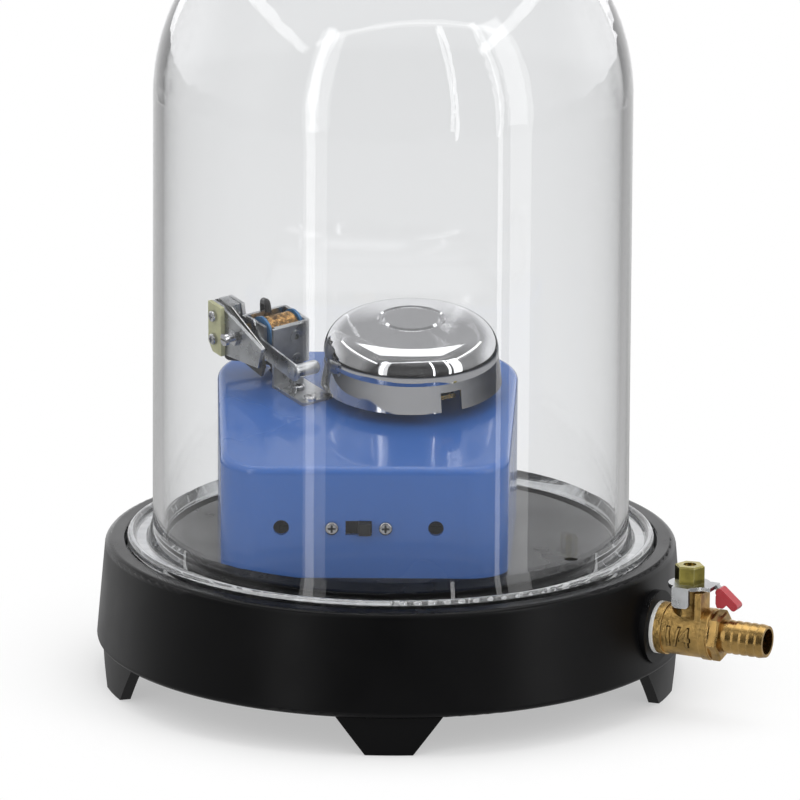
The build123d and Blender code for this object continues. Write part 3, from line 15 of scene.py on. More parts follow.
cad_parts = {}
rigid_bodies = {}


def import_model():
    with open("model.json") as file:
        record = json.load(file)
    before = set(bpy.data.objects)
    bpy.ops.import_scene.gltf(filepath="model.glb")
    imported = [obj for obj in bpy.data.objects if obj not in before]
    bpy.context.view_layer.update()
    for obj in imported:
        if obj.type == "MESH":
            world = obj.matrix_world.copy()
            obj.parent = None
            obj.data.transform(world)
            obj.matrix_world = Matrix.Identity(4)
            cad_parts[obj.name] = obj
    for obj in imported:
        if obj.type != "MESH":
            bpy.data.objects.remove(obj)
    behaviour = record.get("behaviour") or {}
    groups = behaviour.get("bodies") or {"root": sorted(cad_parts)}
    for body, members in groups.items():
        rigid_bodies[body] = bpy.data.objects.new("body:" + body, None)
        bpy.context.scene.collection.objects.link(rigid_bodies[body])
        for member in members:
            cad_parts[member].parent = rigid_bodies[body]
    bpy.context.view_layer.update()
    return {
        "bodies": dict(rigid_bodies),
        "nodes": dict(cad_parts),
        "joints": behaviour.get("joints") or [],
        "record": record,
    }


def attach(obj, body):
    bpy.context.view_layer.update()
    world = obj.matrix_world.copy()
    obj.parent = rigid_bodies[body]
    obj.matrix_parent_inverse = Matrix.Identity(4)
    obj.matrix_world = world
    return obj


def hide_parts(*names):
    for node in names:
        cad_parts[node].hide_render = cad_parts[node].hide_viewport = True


LOG = logging.getLogger("vacuum_chamber")
BOX_SLOPE = math.radians(9.0)
STRIKER_TURN = math.radians(34.0)
VALVE_TURN = math.radians(-26.0)

Colour = tuple[float, float, float]
Stops = tuple[tuple[float, float], ...]

BLOTCH_EDGE: Stops = ((0.3, 0.0), (0.7, 1.0))
UPRIGHT_EDGE: Stops = ((0.3, 1.0), (0.8, 0.0))


class Body(Enum):
    """The CAD bodies that fine pieces ride on."""

    CHAMBER = "chamber"


# ---------------------------------------------------------------------------------------------
# shader node helpers and shared groups
# ---------------------------------------------------------------------------------------------
class NodeTree:
    """A thin wrapper that adds nodes to a tree and links them by name."""

    def __init__(self, tree: bpy.types.NodeTree) -> None:
        """Keep the tree to work on.

        Args:
            tree: a material's, group's or world's node tree.
        """
        self.tree = tree

    def add(self, kind: str, inputs: dict | None = None, **settings: object) -> bpy.types.Node:
        """Add one node.

        Args:
            kind: the node's Blender type name, without its ShaderNode prefix.
            inputs: socket name or number to its value, or to an output socket to link.
            settings: attributes to set on the node itself.

        Returns:
            The new node.
        """
        node = self.tree.nodes.new(kind if kind.startswith("Node") else "ShaderNode" + kind)
        for name, value in settings.items():
            setattr(node, name, value)
        for key, value in (inputs or {}).items():
            self.put(node.inputs[key], value)
        return node

    def put(self, socket: bpy.types.NodeSocket, value: object) -> None:
        """Set or link an input socket.

        Args:
            socket: the input socket.
            value: a number, a colour or an output socket.
        """
        if isinstance(value, bpy.types.NodeSocket):
            self.tree.links.new(value, socket)
        elif isinstance(value, tuple) and len(value) == 3 and socket.type == "RGBA":
            socket.default_value = (*value, 1.0)
        else:
            socket.default_value = value

    def math(self, operation: str, a: object, b: object = 0.0, clamp: bool = False) -> bpy.types.NodeSocket:
        """Add a Math node and return its output.

        Args:
            operation: the Math node's operation.
            a: first input.
            b: second input.
            clamp: whether the result stays from 0 to 1.

        Returns:
            The output socket.
        """
        return self.add("Math", {0: a, 1: b}, operation=operation, use_clamp=clamp).outputs[0]

    def mix(self, factor: object, a: object, b: object) -> bpy.types.NodeSocket:
        """Mix two colours and return the output.

        Args:
            factor: 0 gives a, 1 gives b.
            a: first colour.
            b: second colour.

        Returns:
            The output socket.
        """
        node = self.add("Mix", data_type="RGBA")
        self.put(node.inputs[0], factor)
        self.put(node.inputs[6], a)
        self.put(node.inputs[7], b)
        return node.outputs[2]

    def ramp(self, value: object, stops: Stops) -> bpy.types.NodeSocket:
        """Add a grey colour ramp and return its output.

        Args:
            value: the factor.
            stops: position and grey level of each stop, in order.

        Returns:
            The output socket.
        """
        node = self.add("ValToRGB", {0: value})
        elements = node.color_ramp.elements
        while len(elements) < len(stops):
            elements.new(0.5)
        for element, (place, level) in zip(elements, stops):
            element.position = place
            element.color = (level, level, level, 1.0)
        return node.outputs[0]


def new_group(name: str, inputs: dict[str, float], outputs: list[str]) -> tuple[NodeTree, dict, dict]:
    """Start a shader node group with named float inputs and outputs.

    Args:
        name: the group's name.
        inputs: input name to its default value.
        outputs: output names.

    Returns:
        The group's tree, its input sockets by name, and its output node's sockets by name.
    """
    tree = bpy.data.node_groups.new(name, "ShaderNodeTree")
    for key, value in inputs.items():
        socket = tree.interface.new_socket(key, in_out="INPUT", socket_type="NodeSocketFloat")
        socket.default_value = value
    for key in outputs:
        tree.interface.new_socket(key, in_out="OUTPUT", socket_type="NodeSocketFloat")
    kit = NodeTree(tree)
    start = kit.add("NodeGroupInput")
    end = kit.add("NodeGroupOutput")
    return kit, {k: start.outputs[k] for k in inputs}, {k: end.inputs[k] for k in outputs}


def build_grain_group() -> bpy.types.NodeTree:
    """Uneven fine grain on Object coordinates: a height and a soft blotch mask.

    Returns:
        The group.
    """
    kit, given, gives = new_group("Fine grain", {"Scale": 300.0, "Blotch scale": 20.0}, ["Grain", "Blotch"])
    place = kit.add("TexCoord").outputs["Object"]
    grain = kit.add("TexNoise", {"Vector": place, "Scale": given["Scale"], "Detail": 3.0})
    blotch = kit.add("TexNoise", {"Vector": place, "Scale": given["Blotch scale"], "Detail": 4.0})
    kit.put(gives["Grain"], grain.outputs["Fac"])
    kit.put(gives["Blotch"], blotch.outputs["Fac"])
    return kit.tree


def build_wear_group() -> bpy.types.NodeTree:
    """Rubbed edges: a mask that is high on sharp convex edges, broken up by noise.

    Returns:
        The group.
    """
    kit, given, gives = new_group("Edge wear", {"Width": 0.0008, "Break up": 400.0, "Amount": 1.0}, ["Mask"])
    bevel = kit.add("Bevel", {"Radius": given["Width"]}, samples=4)
    plain = kit.add("NewGeometry").outputs["Normal"]
    dot = kit.add("VectorMath", {0: bevel.outputs[0], 1: plain}, operation="DOT_PRODUCT")
    edge = kit.math("MULTIPLY", kit.math("SUBTRACT", 1.0, dot.outputs["Value"]), 6.0, clamp=True)
    place = kit.add("TexCoord").outputs["Object"]
    noise = kit.add("TexNoise", {"Vector": place, "Scale": given["Break up"], "Detail": 4.0}).outputs["Fac"]
    broken = kit.math("MULTIPLY", edge, kit.math("MULTIPLY", noise, given["Amount"]), clamp=True)
    kit.put(gives["Mask"], broken)
    return kit.tree


def build_scratch_group() -> bpy.types.NodeTree:
    """Long fine scratches or rolling lines, drawn out along one local axis.

    Returns:
        The group.
    """
    kit, given, gives = new_group("Drawn lines", {"Along": 12.0, "Across": 900.0, "Turn": 0.0}, ["Lines"])
    place = kit.add("TexCoord").outputs["Object"]
    spin = kit.add("VectorRotate", {"Vector": place, "Angle": given["Turn"]}, rotation_type="Z_AXIS")
    parts = kit.add("SeparateXYZ", {0: spin.outputs[0]})
    x = kit.math("MULTIPLY", parts.outputs[0], given["Along"])
    y = kit.math("MULTIPLY", parts.outputs[1], given["Across"])
    z = kit.math("MULTIPLY", parts.outputs[2], given["Across"])
    drawn = kit.add("CombineXYZ", {0: x, 1: y, 2: z}).outputs[0]
    noise = kit.add("TexNoise", {"Vector": drawn, "Scale": 1.0, "Detail": 3.0}).outputs["Fac"]
    kit.put(gives["Lines"], noise)
    return kit.tree


class SharedGroups:
    """The shader groups that several finishes place with their own values."""

    def __init__(self) -> None:
        """Build each group once."""
        self.grain = build_grain_group()
        self.wear = build_wear_group()
        self.lines = build_scratch_group()


# ---------------------------------------------------------------------------------------------
# finishes
# ---------------------------------------------------------------------------------------------
@dataclass(frozen=True)
class Finish:
    """One opaque finish: a base colour with grain, blotches, drawn lines and rubbed edges.

    The grain and blotch amounts are shares of the colour and of the roughness.
    """

    name: str
    colour: Colour
    roughness: float
    metallic: float = 0.0
    coat: float = 0.0
    coat_roughness: float = 0.05
    specular: float = 0.5
    grain_scale: float = 600.0
    grain_bump: float = 0.1
    bump_depth: float = 0.00002
    blotch_scale: float = 30.0
    blotch_colour: float = 0.15
    blotch_roughness: float = 0.15
    lines: float = 0.0
    lines_turn: float = 0.0
    side_roughness: float = 0.0
    wear: float = 0.0
    wear_colour: Colour = (0.6, 0.6, 0.6)

    def build(self, groups: SharedGroups) -> bpy.types.Material:
        """Make the material.

        Args:
            groups: the shared shader groups.

        Returns:
            The material.
        """
        material = bpy.data.materials.new(self.name)
        material.use_nodes = True
        kit = NodeTree(material.node_tree)
        shader = material.node_tree.nodes["Principled BSDF"]
        grain = kit.add("Group", node_tree=groups.grain)
        kit.put(grain.inputs["Scale"], self.grain_scale)
        kit.put(grain.inputs["Blotch scale"], self.blotch_scale)
        blotch = kit.ramp(grain.outputs["Blotch"], BLOTCH_EDGE)
        dark = tuple(c * (1.0 - self.blotch_colour) for c in self.colour)
        light = tuple(min(1.0, c * (1.0 + self.blotch_colour)) for c in self.colour)
        colour = kit.mix(blotch, dark, light)
        height = kit.math("MULTIPLY", grain.outputs["Grain"], self.grain_bump)
        if self.lines > 0.0:
            drawn = kit.add("Group", node_tree=groups.lines)
            kit.put(drawn.inputs["Turn"], self.lines_turn)
            height = kit.math("ADD", height, kit.math("MULTIPLY", drawn.outputs["Lines"], self.lines))
        rough = kit.math("ADD", self.roughness * (1.0 - self.blotch_roughness),
                         kit.math("MULTIPLY", blotch, 2.0 * self.roughness * self.blotch_roughness))
        if self.side_roughness > 0.0:
            normal = kit.add("SeparateXYZ", {0: kit.add("TexCoord").outputs["Normal"]}).outputs[2]
            side = kit.ramp(kit.math("ABSOLUTE", normal), UPRIGHT_EDGE)
            rough = kit.math("ADD", rough, kit.math("MULTIPLY", side, self.side_roughness))
        if self.wear > 0.0:
            wear = kit.add("Group", node_tree=groups.wear)
            kit.put(wear.inputs["Amount"], self.wear)
            colour = kit.mix(wear.outputs["Mask"], colour, self.wear_colour)
        bump = kit.add("Bump", {"Height": height, "Distance": self.bump_depth, "Strength": 1.0})
        kit.put(shader.inputs["Base Color"], colour)
        kit.put(shader.inputs["Roughness"], rough)
        kit.put(shader.inputs["Normal"], bump.outputs[0])
        shader.inputs["Metallic"].default_value = self.metallic
        shader.inputs["Specular IOR Level"].default_value = self.specular
        shader.inputs["Coat Weight"].default_value = self.coat
        shader.inputs["Coat Roughness"].default_value = self.coat_roughness
        return material


@dataclass(frozen=True)
class ClearPlastic:
    """Clear moulded plastic that lets lamp light through to what stands inside."""

    name: str = "clear jar plastic"
    tint: Colour = (0.920, 0.925, 0.930)
    ior: float = 1.49
    roughness: float = 0.012
    shadow_tint: Colour = (0.97, 0.97, 0.97)

    def build(self) -> bpy.types.Material:
        """Make the material.

        Returns:
            The material.
        """
        material = bpy.data.materials.new(self.name)
        material.use_nodes = True
        kit = NodeTree(material.node_tree)
        shader = material.node_tree.nodes["Principled BSDF"]
        out = material.node_tree.nodes["Material Output"]
        place = kit.add("TexCoord").outputs["Object"]
        flow = kit.add("Mapping", {"Vector": place, "Scale": (9.0, 9.0, 1.2)})
        wave = kit.add("TexNoise", {"Vector": flow.outputs[0], "Scale": 1.0, "Detail": 1.0})
        bump = kit.add("Bump", {"Height": wave.outputs["Fac"], "Distance": 0.0006, "Strength": 0.25})
        kit.put(shader.inputs["Normal"], bump.outputs[0])
        shader.inputs["Base Color"].default_value = (*self.tint, 1.0)
        shader.inputs["Roughness"].default_value = self.roughness
        shader.inputs["IOR"].default_value = self.ior
        shader.inputs["Transmission Weight"].default_value = 1.0
        path = kit.add("LightPath")
        lamp = kit.math("MAXIMUM", path.outputs["Is Shadow Ray"], path.outputs["Is Diffuse Ray"])
        through = kit.add("BsdfTransparent", {"Color": self.shadow_tint})
        both = kit.add("MixShader", {0: lamp, 1: shader.outputs[0], 2: through.outputs[0]})
        kit.put(out.inputs["Surface"], both.outputs[0])
        return material


def finishes() -> list[Finish]:
    """The opaque finishes of all pieces.

    Returns:
        One finish per material slot of the record, apart from the jar's.
    """
    zinc = (0.55, 0.56, 0.57)
    return [
        Finish("base_plastic", (0.0022, 0.0022, 0.0026), 0.24, side_roughness=0.16, specular=0.17,
               grain_scale=900.0, grain_bump=0.10,
               blotch_colour=0.2, blotch_roughness=0.25, wear=0.15, wear_colour=(0.015, 0.015, 0.015)),
        Finish("seal_rubber", (0.78, 0.79, 0.79), 0.45, coat=0.3, grain_bump=0.4),
        Finish("white_plastic", (0.80, 0.80, 0.78), 0.35, blotch_colour=0.05),
        Finish("cast_brass", (0.50, 0.32, 0.11), 0.36, metallic=1.0, grain_scale=800.0, grain_bump=1.0,
               bump_depth=0.00025, blotch_scale=160.0, blotch_colour=0.40, blotch_roughness=0.3, wear=0.9,
               wear_colour=(0.80, 0.58, 0.26)),
        Finish("turned_brass", (0.46, 0.29, 0.10), 0.27, metallic=1.0, grain_scale=500.0, grain_bump=0.5,
               bump_depth=0.0001, blotch_scale=140.0, blotch_colour=0.45, wear=0.6,
               wear_colour=(0.85, 0.62, 0.30)),
        Finish("tarnished_brass", (0.085, 0.05, 0.018), 0.5, metallic=1.0, blotch_scale=300.0,
               blotch_colour=0.5),
        Finish("plated_steel", (0.70, 0.70, 0.71), 0.18, metallic=1.0, blotch_scale=200.0, blotch_colour=0.2),
        Finish("zinc_steel", zinc, 0.30, metallic=1.0, lines=0.5, lines_turn=0.5, bump_depth=0.00004,
               blotch_scale=110.0, blotch_colour=0.30, blotch_roughness=0.35, wear=0.8,
               wear_colour=(0.85, 0.85, 0.85)),
        Finish("spring_steel", (0.62, 0.62, 0.61), 0.18, metallic=1.0, lines=0.3),
        Finish("yellow_zinc", (0.40, 0.34, 0.085), 0.22, metallic=1.0, blotch_scale=150.0, blotch_colour=0.35,
               wear=0.8, wear_colour=(0.8, 0.78, 0.5)),
        Finish("red_vinyl", (0.40, 0.012, 0.022), 0.32, coat=0.3, coat_roughness=0.2, blotch_colour=0.12),
        Finish("blue_plastic", (0.040, 0.135, 0.44), 0.26, specular=0.45, coat=0.6, coat_roughness=0.05,
               grain_scale=700.0, grain_bump=0.05, blotch_scale=14.0, blotch_colour=0.05),
        Finish("black_plastic", (0.012, 0.012, 0.012), 0.35, grain_bump=0.3),
        Finish("gong_chrome", (0.74, 0.74, 0.75), 0.04, metallic=1.0, grain_scale=60.0, grain_bump=0.25,
               bump_depth=0.00004, blotch_scale=40.0, blotch_colour=0.04, blotch_roughness=0.5),
        Finish("cell_jacket", (0.06, 0.08, 0.12), 0.3, metallic=0.6),
        Finish("bobbin_blue", (0.03, 0.16, 0.36), 0.3, coat=0.3, blotch_colour=0.15),
        # strong random tone on the copper: partly the wire's own uneven colour, partly painted glints and
        # painted shade between the turns
        Finish("copper_wire", (0.80, 0.33, 0.14), 0.26, metallic=0.9, blotch_scale=700.0, blotch_colour=0.9),
        Finish("olive_fibre", (0.42, 0.42, 0.24), 0.5, blotch_scale=200.0, blotch_colour=0.15,
               grain_bump=0.5),
        Finish("black_sleeve", (0.012, 0.011, 0.012), 0.35, blotch_colour=0.2),
        Finish("lead_insulation", (0.014, 0.012, 0.016), 0.35, blotch_colour=0.2),
    ]


class Wardrobe:
    """Builds each finish once and dresses pieces by the record's slot names."""

    def __init__(self) -> None:
        """Build all the materials."""
        groups = SharedGroups()
        self.by_slot: dict[str, bpy.types.Material] = {f.name: f.build(groups) for f in finishes()}
        self.by_slot["clear_plastic"] = ClearPlastic().build()

    def dress(self, piece: bpy.types.Object, slot: str) -> None:
        """Give a piece one slot's finish.

        Args:
            piece: the mesh object.
            slot: the record's slot name.
        """
        piece.data.materials.clear()
        piece.data.materials.append(self.by_slot[slot])


# ---------------------------------------------------------------------------------------------
# studio
# ---------------------------------------------------------------------------------------------
def coming_out(kit: NodeTree) -> object:
    """Tell the rays that leave a clear piece after something has mirrored them.

    Args:
        kit: the node tree that asks.

    Returns:
        A socket that is 1 for such rays and 0 for all others.
    """
    path = kit.add("LightPath")
    mirrored = kit.math("GREATER_THAN", path.outputs["Glossy Depth"], 0.5)
    let_through = kit.math("GREATER_THAN", path.outputs["Transmission Depth"], 0.5)
    return kit.math("MULTIPLY", mirrored, let_through)


@dataclass(frozen=True)
class Softbox:
    """A rectangular lamp that faces a point, whose part under the table no ray from the jar sees."""

    name: str
    azimuth: float
    elevation: float
    distance: float
    width: float
    height: float
    radiance: float

    def build(self, target: Vector) -> bpy.types.Object:
        """Add the lamp.

        Args:
            target: the point it faces.

        Returns:
            The lamp object.
        """
        turn = math.radians(self.azimuth)
        lift = math.radians(self.elevation)
        way = Vector((math.sin(turn) * math.cos(lift), -math.cos(turn) * math.cos(lift), math.sin(lift)))
        data = bpy.data.lights.new(self.name, "AREA")
        data.shape = "RECTANGLE"
        data.size = self.width
        data.size_y = self.height
        data.energy = self.radiance * math.pi * self.width * self.height
        data.use_nodes = True
        kit = NodeTree(data.node_tree)
        place = kit.add("SeparateXYZ", {0: kit.add("NewGeometry").outputs["Position"]})
        below = kit.math("LESS_THAN", place.outputs[2], 0.0)
        hidden = kit.math("MULTIPLY", below, coming_out(kit))
        kit.put(data.node_tree.nodes["Emission"].inputs["Strength"], kit.math("SUBTRACT", 1.0, hidden))
        lamp = bpy.data.objects.new(self.name, data)
        lamp.location = target + way * self.distance
        lamp.rotation_euler = (-way).to_track_quat("-Z", "Y").to_euler()
        bpy.context.scene.collection.objects.link(lamp)
        return lamp


@dataclass(frozen=True)
class Studio:
    """White floor, white backdrop for the camera, a grey room for reflections, and lamps."""

    fill_low: float = 0.37
    fill_high: float = 0.98
    room_grey: float = 0.34
    table_grey: float = 0.50
    front_dark: float = 0.015
    back_bright: Colour = (1.15, 1.15, 1.16)
    horizon: float = 0.04
    table_edge: Stops = ((0.17, 0.0), (0.26, 1.0))
    front_edge: Stops = ((0.35, 0.0), (0.62, 1.0))
    front_top: Stops = ((0.55, 1.0), (0.98, 0.0))
    back_edge: Stops = ((0.05, 0.0), (0.5, 1.0))
    back_fall: Stops = ((0.26, 1.0), (0.53, 0.5))
    floor_half: float = 6.0
    floor_drop: float = 0.0002
    floor_white: float = 0.86
    floor_roughness: float = 0.9
    floor_fade: Stops = ((0.115, 0.45), (0.18, 1.0))
    aim: tuple[float, float, float] = (0.0, 0.0, 0.12)
    boxes: tuple[Softbox, ...] = (
        Softbox("left strip", -38.0, 14.0, 1.5, 0.12, 2.0, 2.6),
        Softbox("left glow", -36.0, 14.0, 1.6, 0.34, 2.0, 1.2),
        Softbox("right strip", 51.0, 14.0, 1.5, 0.07, 2.0, 3.2),
        Softbox("right glow", 62.0, 14.0, 1.6, 0.34, 2.0, 1.9),
        Softbox("inner right strip", 29.0, 22.0, 1.6, 0.05, 1.7, 5.0),
        Softbox("front top strip", 11.0, 54.0, 1.3, 2.2, 0.05, 2.0),
        Softbox("left top strip", -90.0, 42.0, 1.5, 2.0, 0.12, 1.9),
        Softbox("right top strip", 90.0, 42.0, 1.5, 2.0, 0.12, 1.9),
        Softbox("ceiling", 180.0, 80.0, 2.2, 2.2, 1.6, 1.6),
    )

    def build_world(self) -> None:
        """Light the scene from all round, and show white behind the object."""
        world = bpy.data.worlds.new("studio")
        bpy.context.scene.world = world
        world.use_nodes = True
        kit = NodeTree(world.node_tree)
        world.node_tree.nodes.clear()
        way = kit.add("SeparateXYZ", {0: kit.add("TexCoord").outputs["Generated"]})
        y, z = way.outputs[1], way.outputs[2]
        table = kit.ramp(kit.math("MULTIPLY", z, -1.0), self.table_edge)
        front = kit.ramp(kit.math("MULTIPLY", y, -1.0), self.front_edge)
        low = kit.ramp(z, self.front_top)
        dark = kit.math("MULTIPLY", front, low)
        room = kit.mix(dark, (self.room_grey,) * 3, (self.front_dark,) * 3)
        back = kit.ramp(y, self.back_edge)
        sill = kit.ramp(z, self.back_fall)
        bright = kit.mix(sill, (0.0, 0.0, 0.0), self.back_bright)
        room = kit.mix(back, room, bright)
        room = kit.mix(table, room, (self.table_grey,) * 3)
        path = kit.add("LightPath")
        glossy = kit.math("MULTIPLY", path.outputs["Is Reflection Ray"], path.outputs["Is Glossy Ray"])
        below = kit.math("LESS_THAN", z, -self.horizon)
        past = kit.math("MULTIPLY", below, kit.math("SUBTRACT", 1.0, glossy))
        under = kit.math("MULTIPLY", past, coming_out(kit))
        room = kit.mix(under, room, kit.mix(table, (self.front_dark,) * 3, (self.table_grey,) * 3))
        mirrored = kit.math("GREATER_THAN", path.outputs["Glossy Depth"], 0.5)
        clear = kit.math("SUBTRACT", 1.0, mirrored)
        seen = kit.math("MULTIPLY", clear, kit.math("MAXIMUM", path.outputs["Is Camera Ray"],
                                                    path.outputs["Is Transmission Ray"]))
        above = kit.math("MAXIMUM", z, 0.0)
        light = kit.mix(above, (self.fill_low,) * 3, (self.fill_high,) * 3)
        colour = kit.mix(kit.math("MAXIMUM", path.outputs["Is Glossy Ray"], mirrored), light, room)
        colour = kit.mix(seen, colour, (1.0, 1.0, 1.0))
        kit.put(kit.add("OutputWorld").inputs[0], kit.add("Background", {"Color": colour}).outputs[0])

    def build_floor(self) -> None:
        """A large white floor with the object's soft shadow, which rays coming out of the jar pass."""
        bpy.ops.mesh.primitive_plane_add(size=2.0 * self.floor_half, location=(0.0, 0.0, -self.floor_drop))
        floor = bpy.context.object
        floor.name = "studio_floor"
        floor.visible_glossy = False
        material = bpy.data.materials.new("studio floor")
        material.use_nodes = True
        kit = NodeTree(material.node_tree)
        shader = material.node_tree.nodes["Principled BSDF"]
        shader.inputs["Base Color"].default_value = (*(self.floor_white,) * 3, 1.0)
        shader.inputs["Roughness"].default_value = self.floor_roughness
        shader.inputs["Specular IOR Level"].default_value = 0.0
        place = kit.add("TexCoord").outputs["Object"]
        far = kit.add("VectorMath", {0: place}, operation="LENGTH").outputs["Value"]
        fade = kit.ramp(far, self.floor_fade)
        path = kit.add("LightPath")
        seen = kit.math("MAXIMUM", path.outputs["Is Camera Ray"], path.outputs["Is Transmission Ray"])
        white = kit.add("Emission", {"Color": (1.0, 1.0, 1.0), "Strength": 1.0})
        both = kit.add("MixShader", {0: kit.math("MULTIPLY", fade, seen), 1: shader.outputs[0],
                                     2: white.outputs[0]})
        gone = kit.add("BsdfTransparent")
        both = kit.add("MixShader", {0: coming_out(kit), 1: both.outputs[0], 2: gone.outputs[0]})
        kit.put(material.node_tree.nodes["Material Output"].inputs["Surface"], both.outputs[0])
        floor.data.materials.append(material)

    def build(self) -> None:
        """Build the world, the floor and the lamps."""
        self.build_world()
        self.build_floor()
        for box in self.boxes:
            box.build(Vector(self.aim))
        bpy.context.scene.view_settings.view_transform = "Standard"


@dataclass(frozen=True)
class StudioCamera:
    """The camera's place, aim, roll and lens."""

    place: tuple[float, float, float] = (0.003284, -2.422394, 0.725820)
    aim: tuple[float, float, float] = (0.003284, 0.0, 0.107754)
    roll: float = 0.3632
    lens: float = 293.48
    sensor: float = 36.0

    def build(self) -> None:
        """Add the camera and make it the scene's."""
        data = bpy.data.cameras.new("camera")
        data.lens = self.lens
        data.sensor_width = self.sensor
        data.clip_end = 50.0
        camera = bpy.data.objects.new("camera", data)
        bpy.context.scene.collection.objects.link(camera)
        way = Vector(self.aim) - Vector(self.place)
        turned = way.to_track_quat("-Z", "Y").to_matrix().to_4x4()
        spin = Matrix.Rotation(math.radians(self.roll), 4, "Z")
        camera.matrix_world = Matrix.Translation(Vector(self.place)) @ turned @ spin
        bpy.context.scene.camera = camera


# ---------------------------------------------------------------------------------------------
# fine pieces
# ---------------------------------------------------------------------------------------------
def deselect_all() -> None:
    """Leave nothing selected, so that the next operator acts on its own piece only."""
    for item in bpy.context.selected_objects:
        item.select_set(False)


def settle(piece: bpy.types.Object) -> None:
    """Bake a new piece's place and modifiers into its mesh, and leave it at the origin.

    Args:
        piece: the new mesh object.
    """
    deselect_all()
    piece.select_set(True)
    bpy.context.view_layer.objects.active = piece
    for modifier in list(piece.modifiers):
        bpy.ops.object.modifier_apply(modifier=modifier.name)
    bpy.ops.object.transform_apply(location=True, rotation=True, scale=True)
    deselect_all()


@dataclass(frozen=True)
class LocalAxes:
    """Three unit directions of a sub-assembly that stands turned in the row's frame."""

    along: Vector
    back: Vector
    up: Vector

    def span(self, node: bpy.types.Object, way: Vector) -> tuple[float, float]:
        """How far a node reaches along a direction.

        Args:
            node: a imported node.
            way: one unit direction.

        Returns:
            Its lowest and highest place along it.
        """
        places = [vertex.co.dot(way) for vertex in node.data.vertices]
        return min(places), max(places)

    def middle(self, node: bpy.types.Object) -> Vector:
        """The middle of a node's box, measured along these directions.

        Args:
            node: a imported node.

        Returns:
            The middle point, in the row's frame.
        """
        ways = (self.along, self.back, self.up)
        return sum((way * (sum(self.span(node, way)) / 2.0) for way in ways), Vector())

    def turned(self, first: Vector, second: Vector, third: Vector) -> tuple[float, float, float]:
        """The Euler turn that brings local X, Y and Z onto three of the directions.

        Args:
            first: where local X goes.
            second: where local Y goes.
            third: where local Z goes.

        Returns:
            The Euler angles.
        """
        return tuple(Matrix((first, second, third)).transposed().to_euler())


def box_top_axes(turn: float) -> LocalAxes:
    """Directions on the battery box's sloping top, turned about its normal.

    Args:
        turn: the turn in radians.

    Returns:
        The three directions.
    """
    up = Vector((0.0, -math.sin(BOX_SLOPE), math.cos(BOX_SLOPE)))
    back = Vector((0.0, math.cos(BOX_SLOPE), math.sin(BOX_SLOPE)))
    right = Vector((1.0, 0.0, 0.0))
    along = right * math.cos(turn) + back * math.sin(turn)
    across = back * math.cos(turn) - right * math.sin(turn)
    return LocalAxes(along, across, up)


@dataclass
class CoilTurns:
    """The striker coil's outer layer of wire, turn by turn, over a solid core of winding."""

    wire_r: float = 0.00033
    segments: int = 72
    wire_sides: int = 8
    end_gap: float = 0.00002
    uneven: float = 0.00028
    uneven_scale: float = 0.0022

    def build(self, node: bpy.types.Object) -> bpy.types.Object:
        """Wind the coil in the place of the plain CAD winding.

        Args:
            node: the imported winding.

        Returns:
            The wound piece.
        """
        axes = box_top_axes(STRIKER_TURN)
        low, high = axes.span(node, axes.along)
        out = (axes.span(node, axes.back)[1] - axes.span(node, axes.back)[0]) / 2.0
        middle = axes.middle(node)
        turn = axes.turned(axes.up, axes.back * -1.0, axes.along)
        pitch = 2.0 * self.wire_r
        count = int((high - low) / pitch) - 1
        start = middle + axes.along * (low + 1.5 * self.wire_r - middle.dot(axes.along))
        deselect_all()
        bpy.ops.mesh.primitive_torus_add(major_radius=out - self.wire_r - self.uneven,
                                         minor_radius=self.wire_r, major_segments=self.segments,
                                         minor_segments=self.wire_sides, location=start, rotation=turn)
        turns = bpy.context.object
        turns.name = "coil_turns"
        row = turns.modifiers.new("row", "ARRAY")
        row.count = count
        row.use_relative_offset = False
        row.use_constant_offset = True
        row.constant_offset_displace = (0.0, 0.0, pitch)
        settle(turns)
        cloud = bpy.data.textures.new("uneven winding", "CLOUDS")
        cloud.noise_scale = self.uneven_scale
        shift = turns.modifiers.new("uneven", "DISPLACE")
        shift.texture = cloud
        shift.texture_coords = "GLOBAL"
        shift.direction = "RGB_TO_XYZ"
        shift.strength = self.uneven
        settle(turns)
        bpy.ops.mesh.primitive_cylinder_add(vertices=self.segments,
                                            radius=out - 2.0 * self.wire_r - self.uneven,
                                            depth=high - low - self.end_gap, location=middle, rotation=turn)
        core = bpy.context.object
        core.name = "coil_core_winding"
        settle(core)
        turns.select_set(True)
        core.select_set(True)
        bpy.context.view_layer.objects.active = turns
        bpy.ops.object.join()
        bpy.ops.object.shade_smooth()
        deselect_all()
        return turns


@dataclass
class GongBeads:
    """The ring of small pressed dots between the gong's centre disc and its crown."""

    ring_r: float = 0.0119
    dot_r: float = 0.00042
    sunk: float = 0.00078
    count: int = 52

    def build(self, node: bpy.types.Object) -> bpy.types.Object:
        """Press the ring of dots on top of the gong.

        Args:
            node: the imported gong.

        Returns:
            The ring of dots.
        """
        axes = box_top_axes(0.0)
        middle = axes.middle(node)
        top = middle + axes.up * (axes.span(node, axes.up)[1] - middle.dot(axes.up) - self.sunk)
        deselect_all()
        bpy.ops.mesh.primitive_uv_sphere_add(segments=12, ring_count=8, radius=self.dot_r,
                                             location=top + axes.along * self.ring_r)
        dots = bpy.context.object
        dots.name = "gong_beads"
        settle(dots)
        dots.select_set(True)
        bpy.context.view_layer.objects.active = dots
        bpy.ops.object.mode_set(mode="EDIT")
        bpy.ops.mesh.select_all(action="SELECT")
        bpy.ops.mesh.spin(steps=self.count, angle=2.0 * math.pi, dupli=True, center=top, axis=axes.up)
        bpy.ops.mesh.select_all(action="SELECT")
        bpy.ops.mesh.remove_doubles(threshold=0.000001)
        bpy.ops.object.mode_set(mode="OBJECT")
        bpy.ops.object.shade_smooth()
        deselect_all()
        return dots


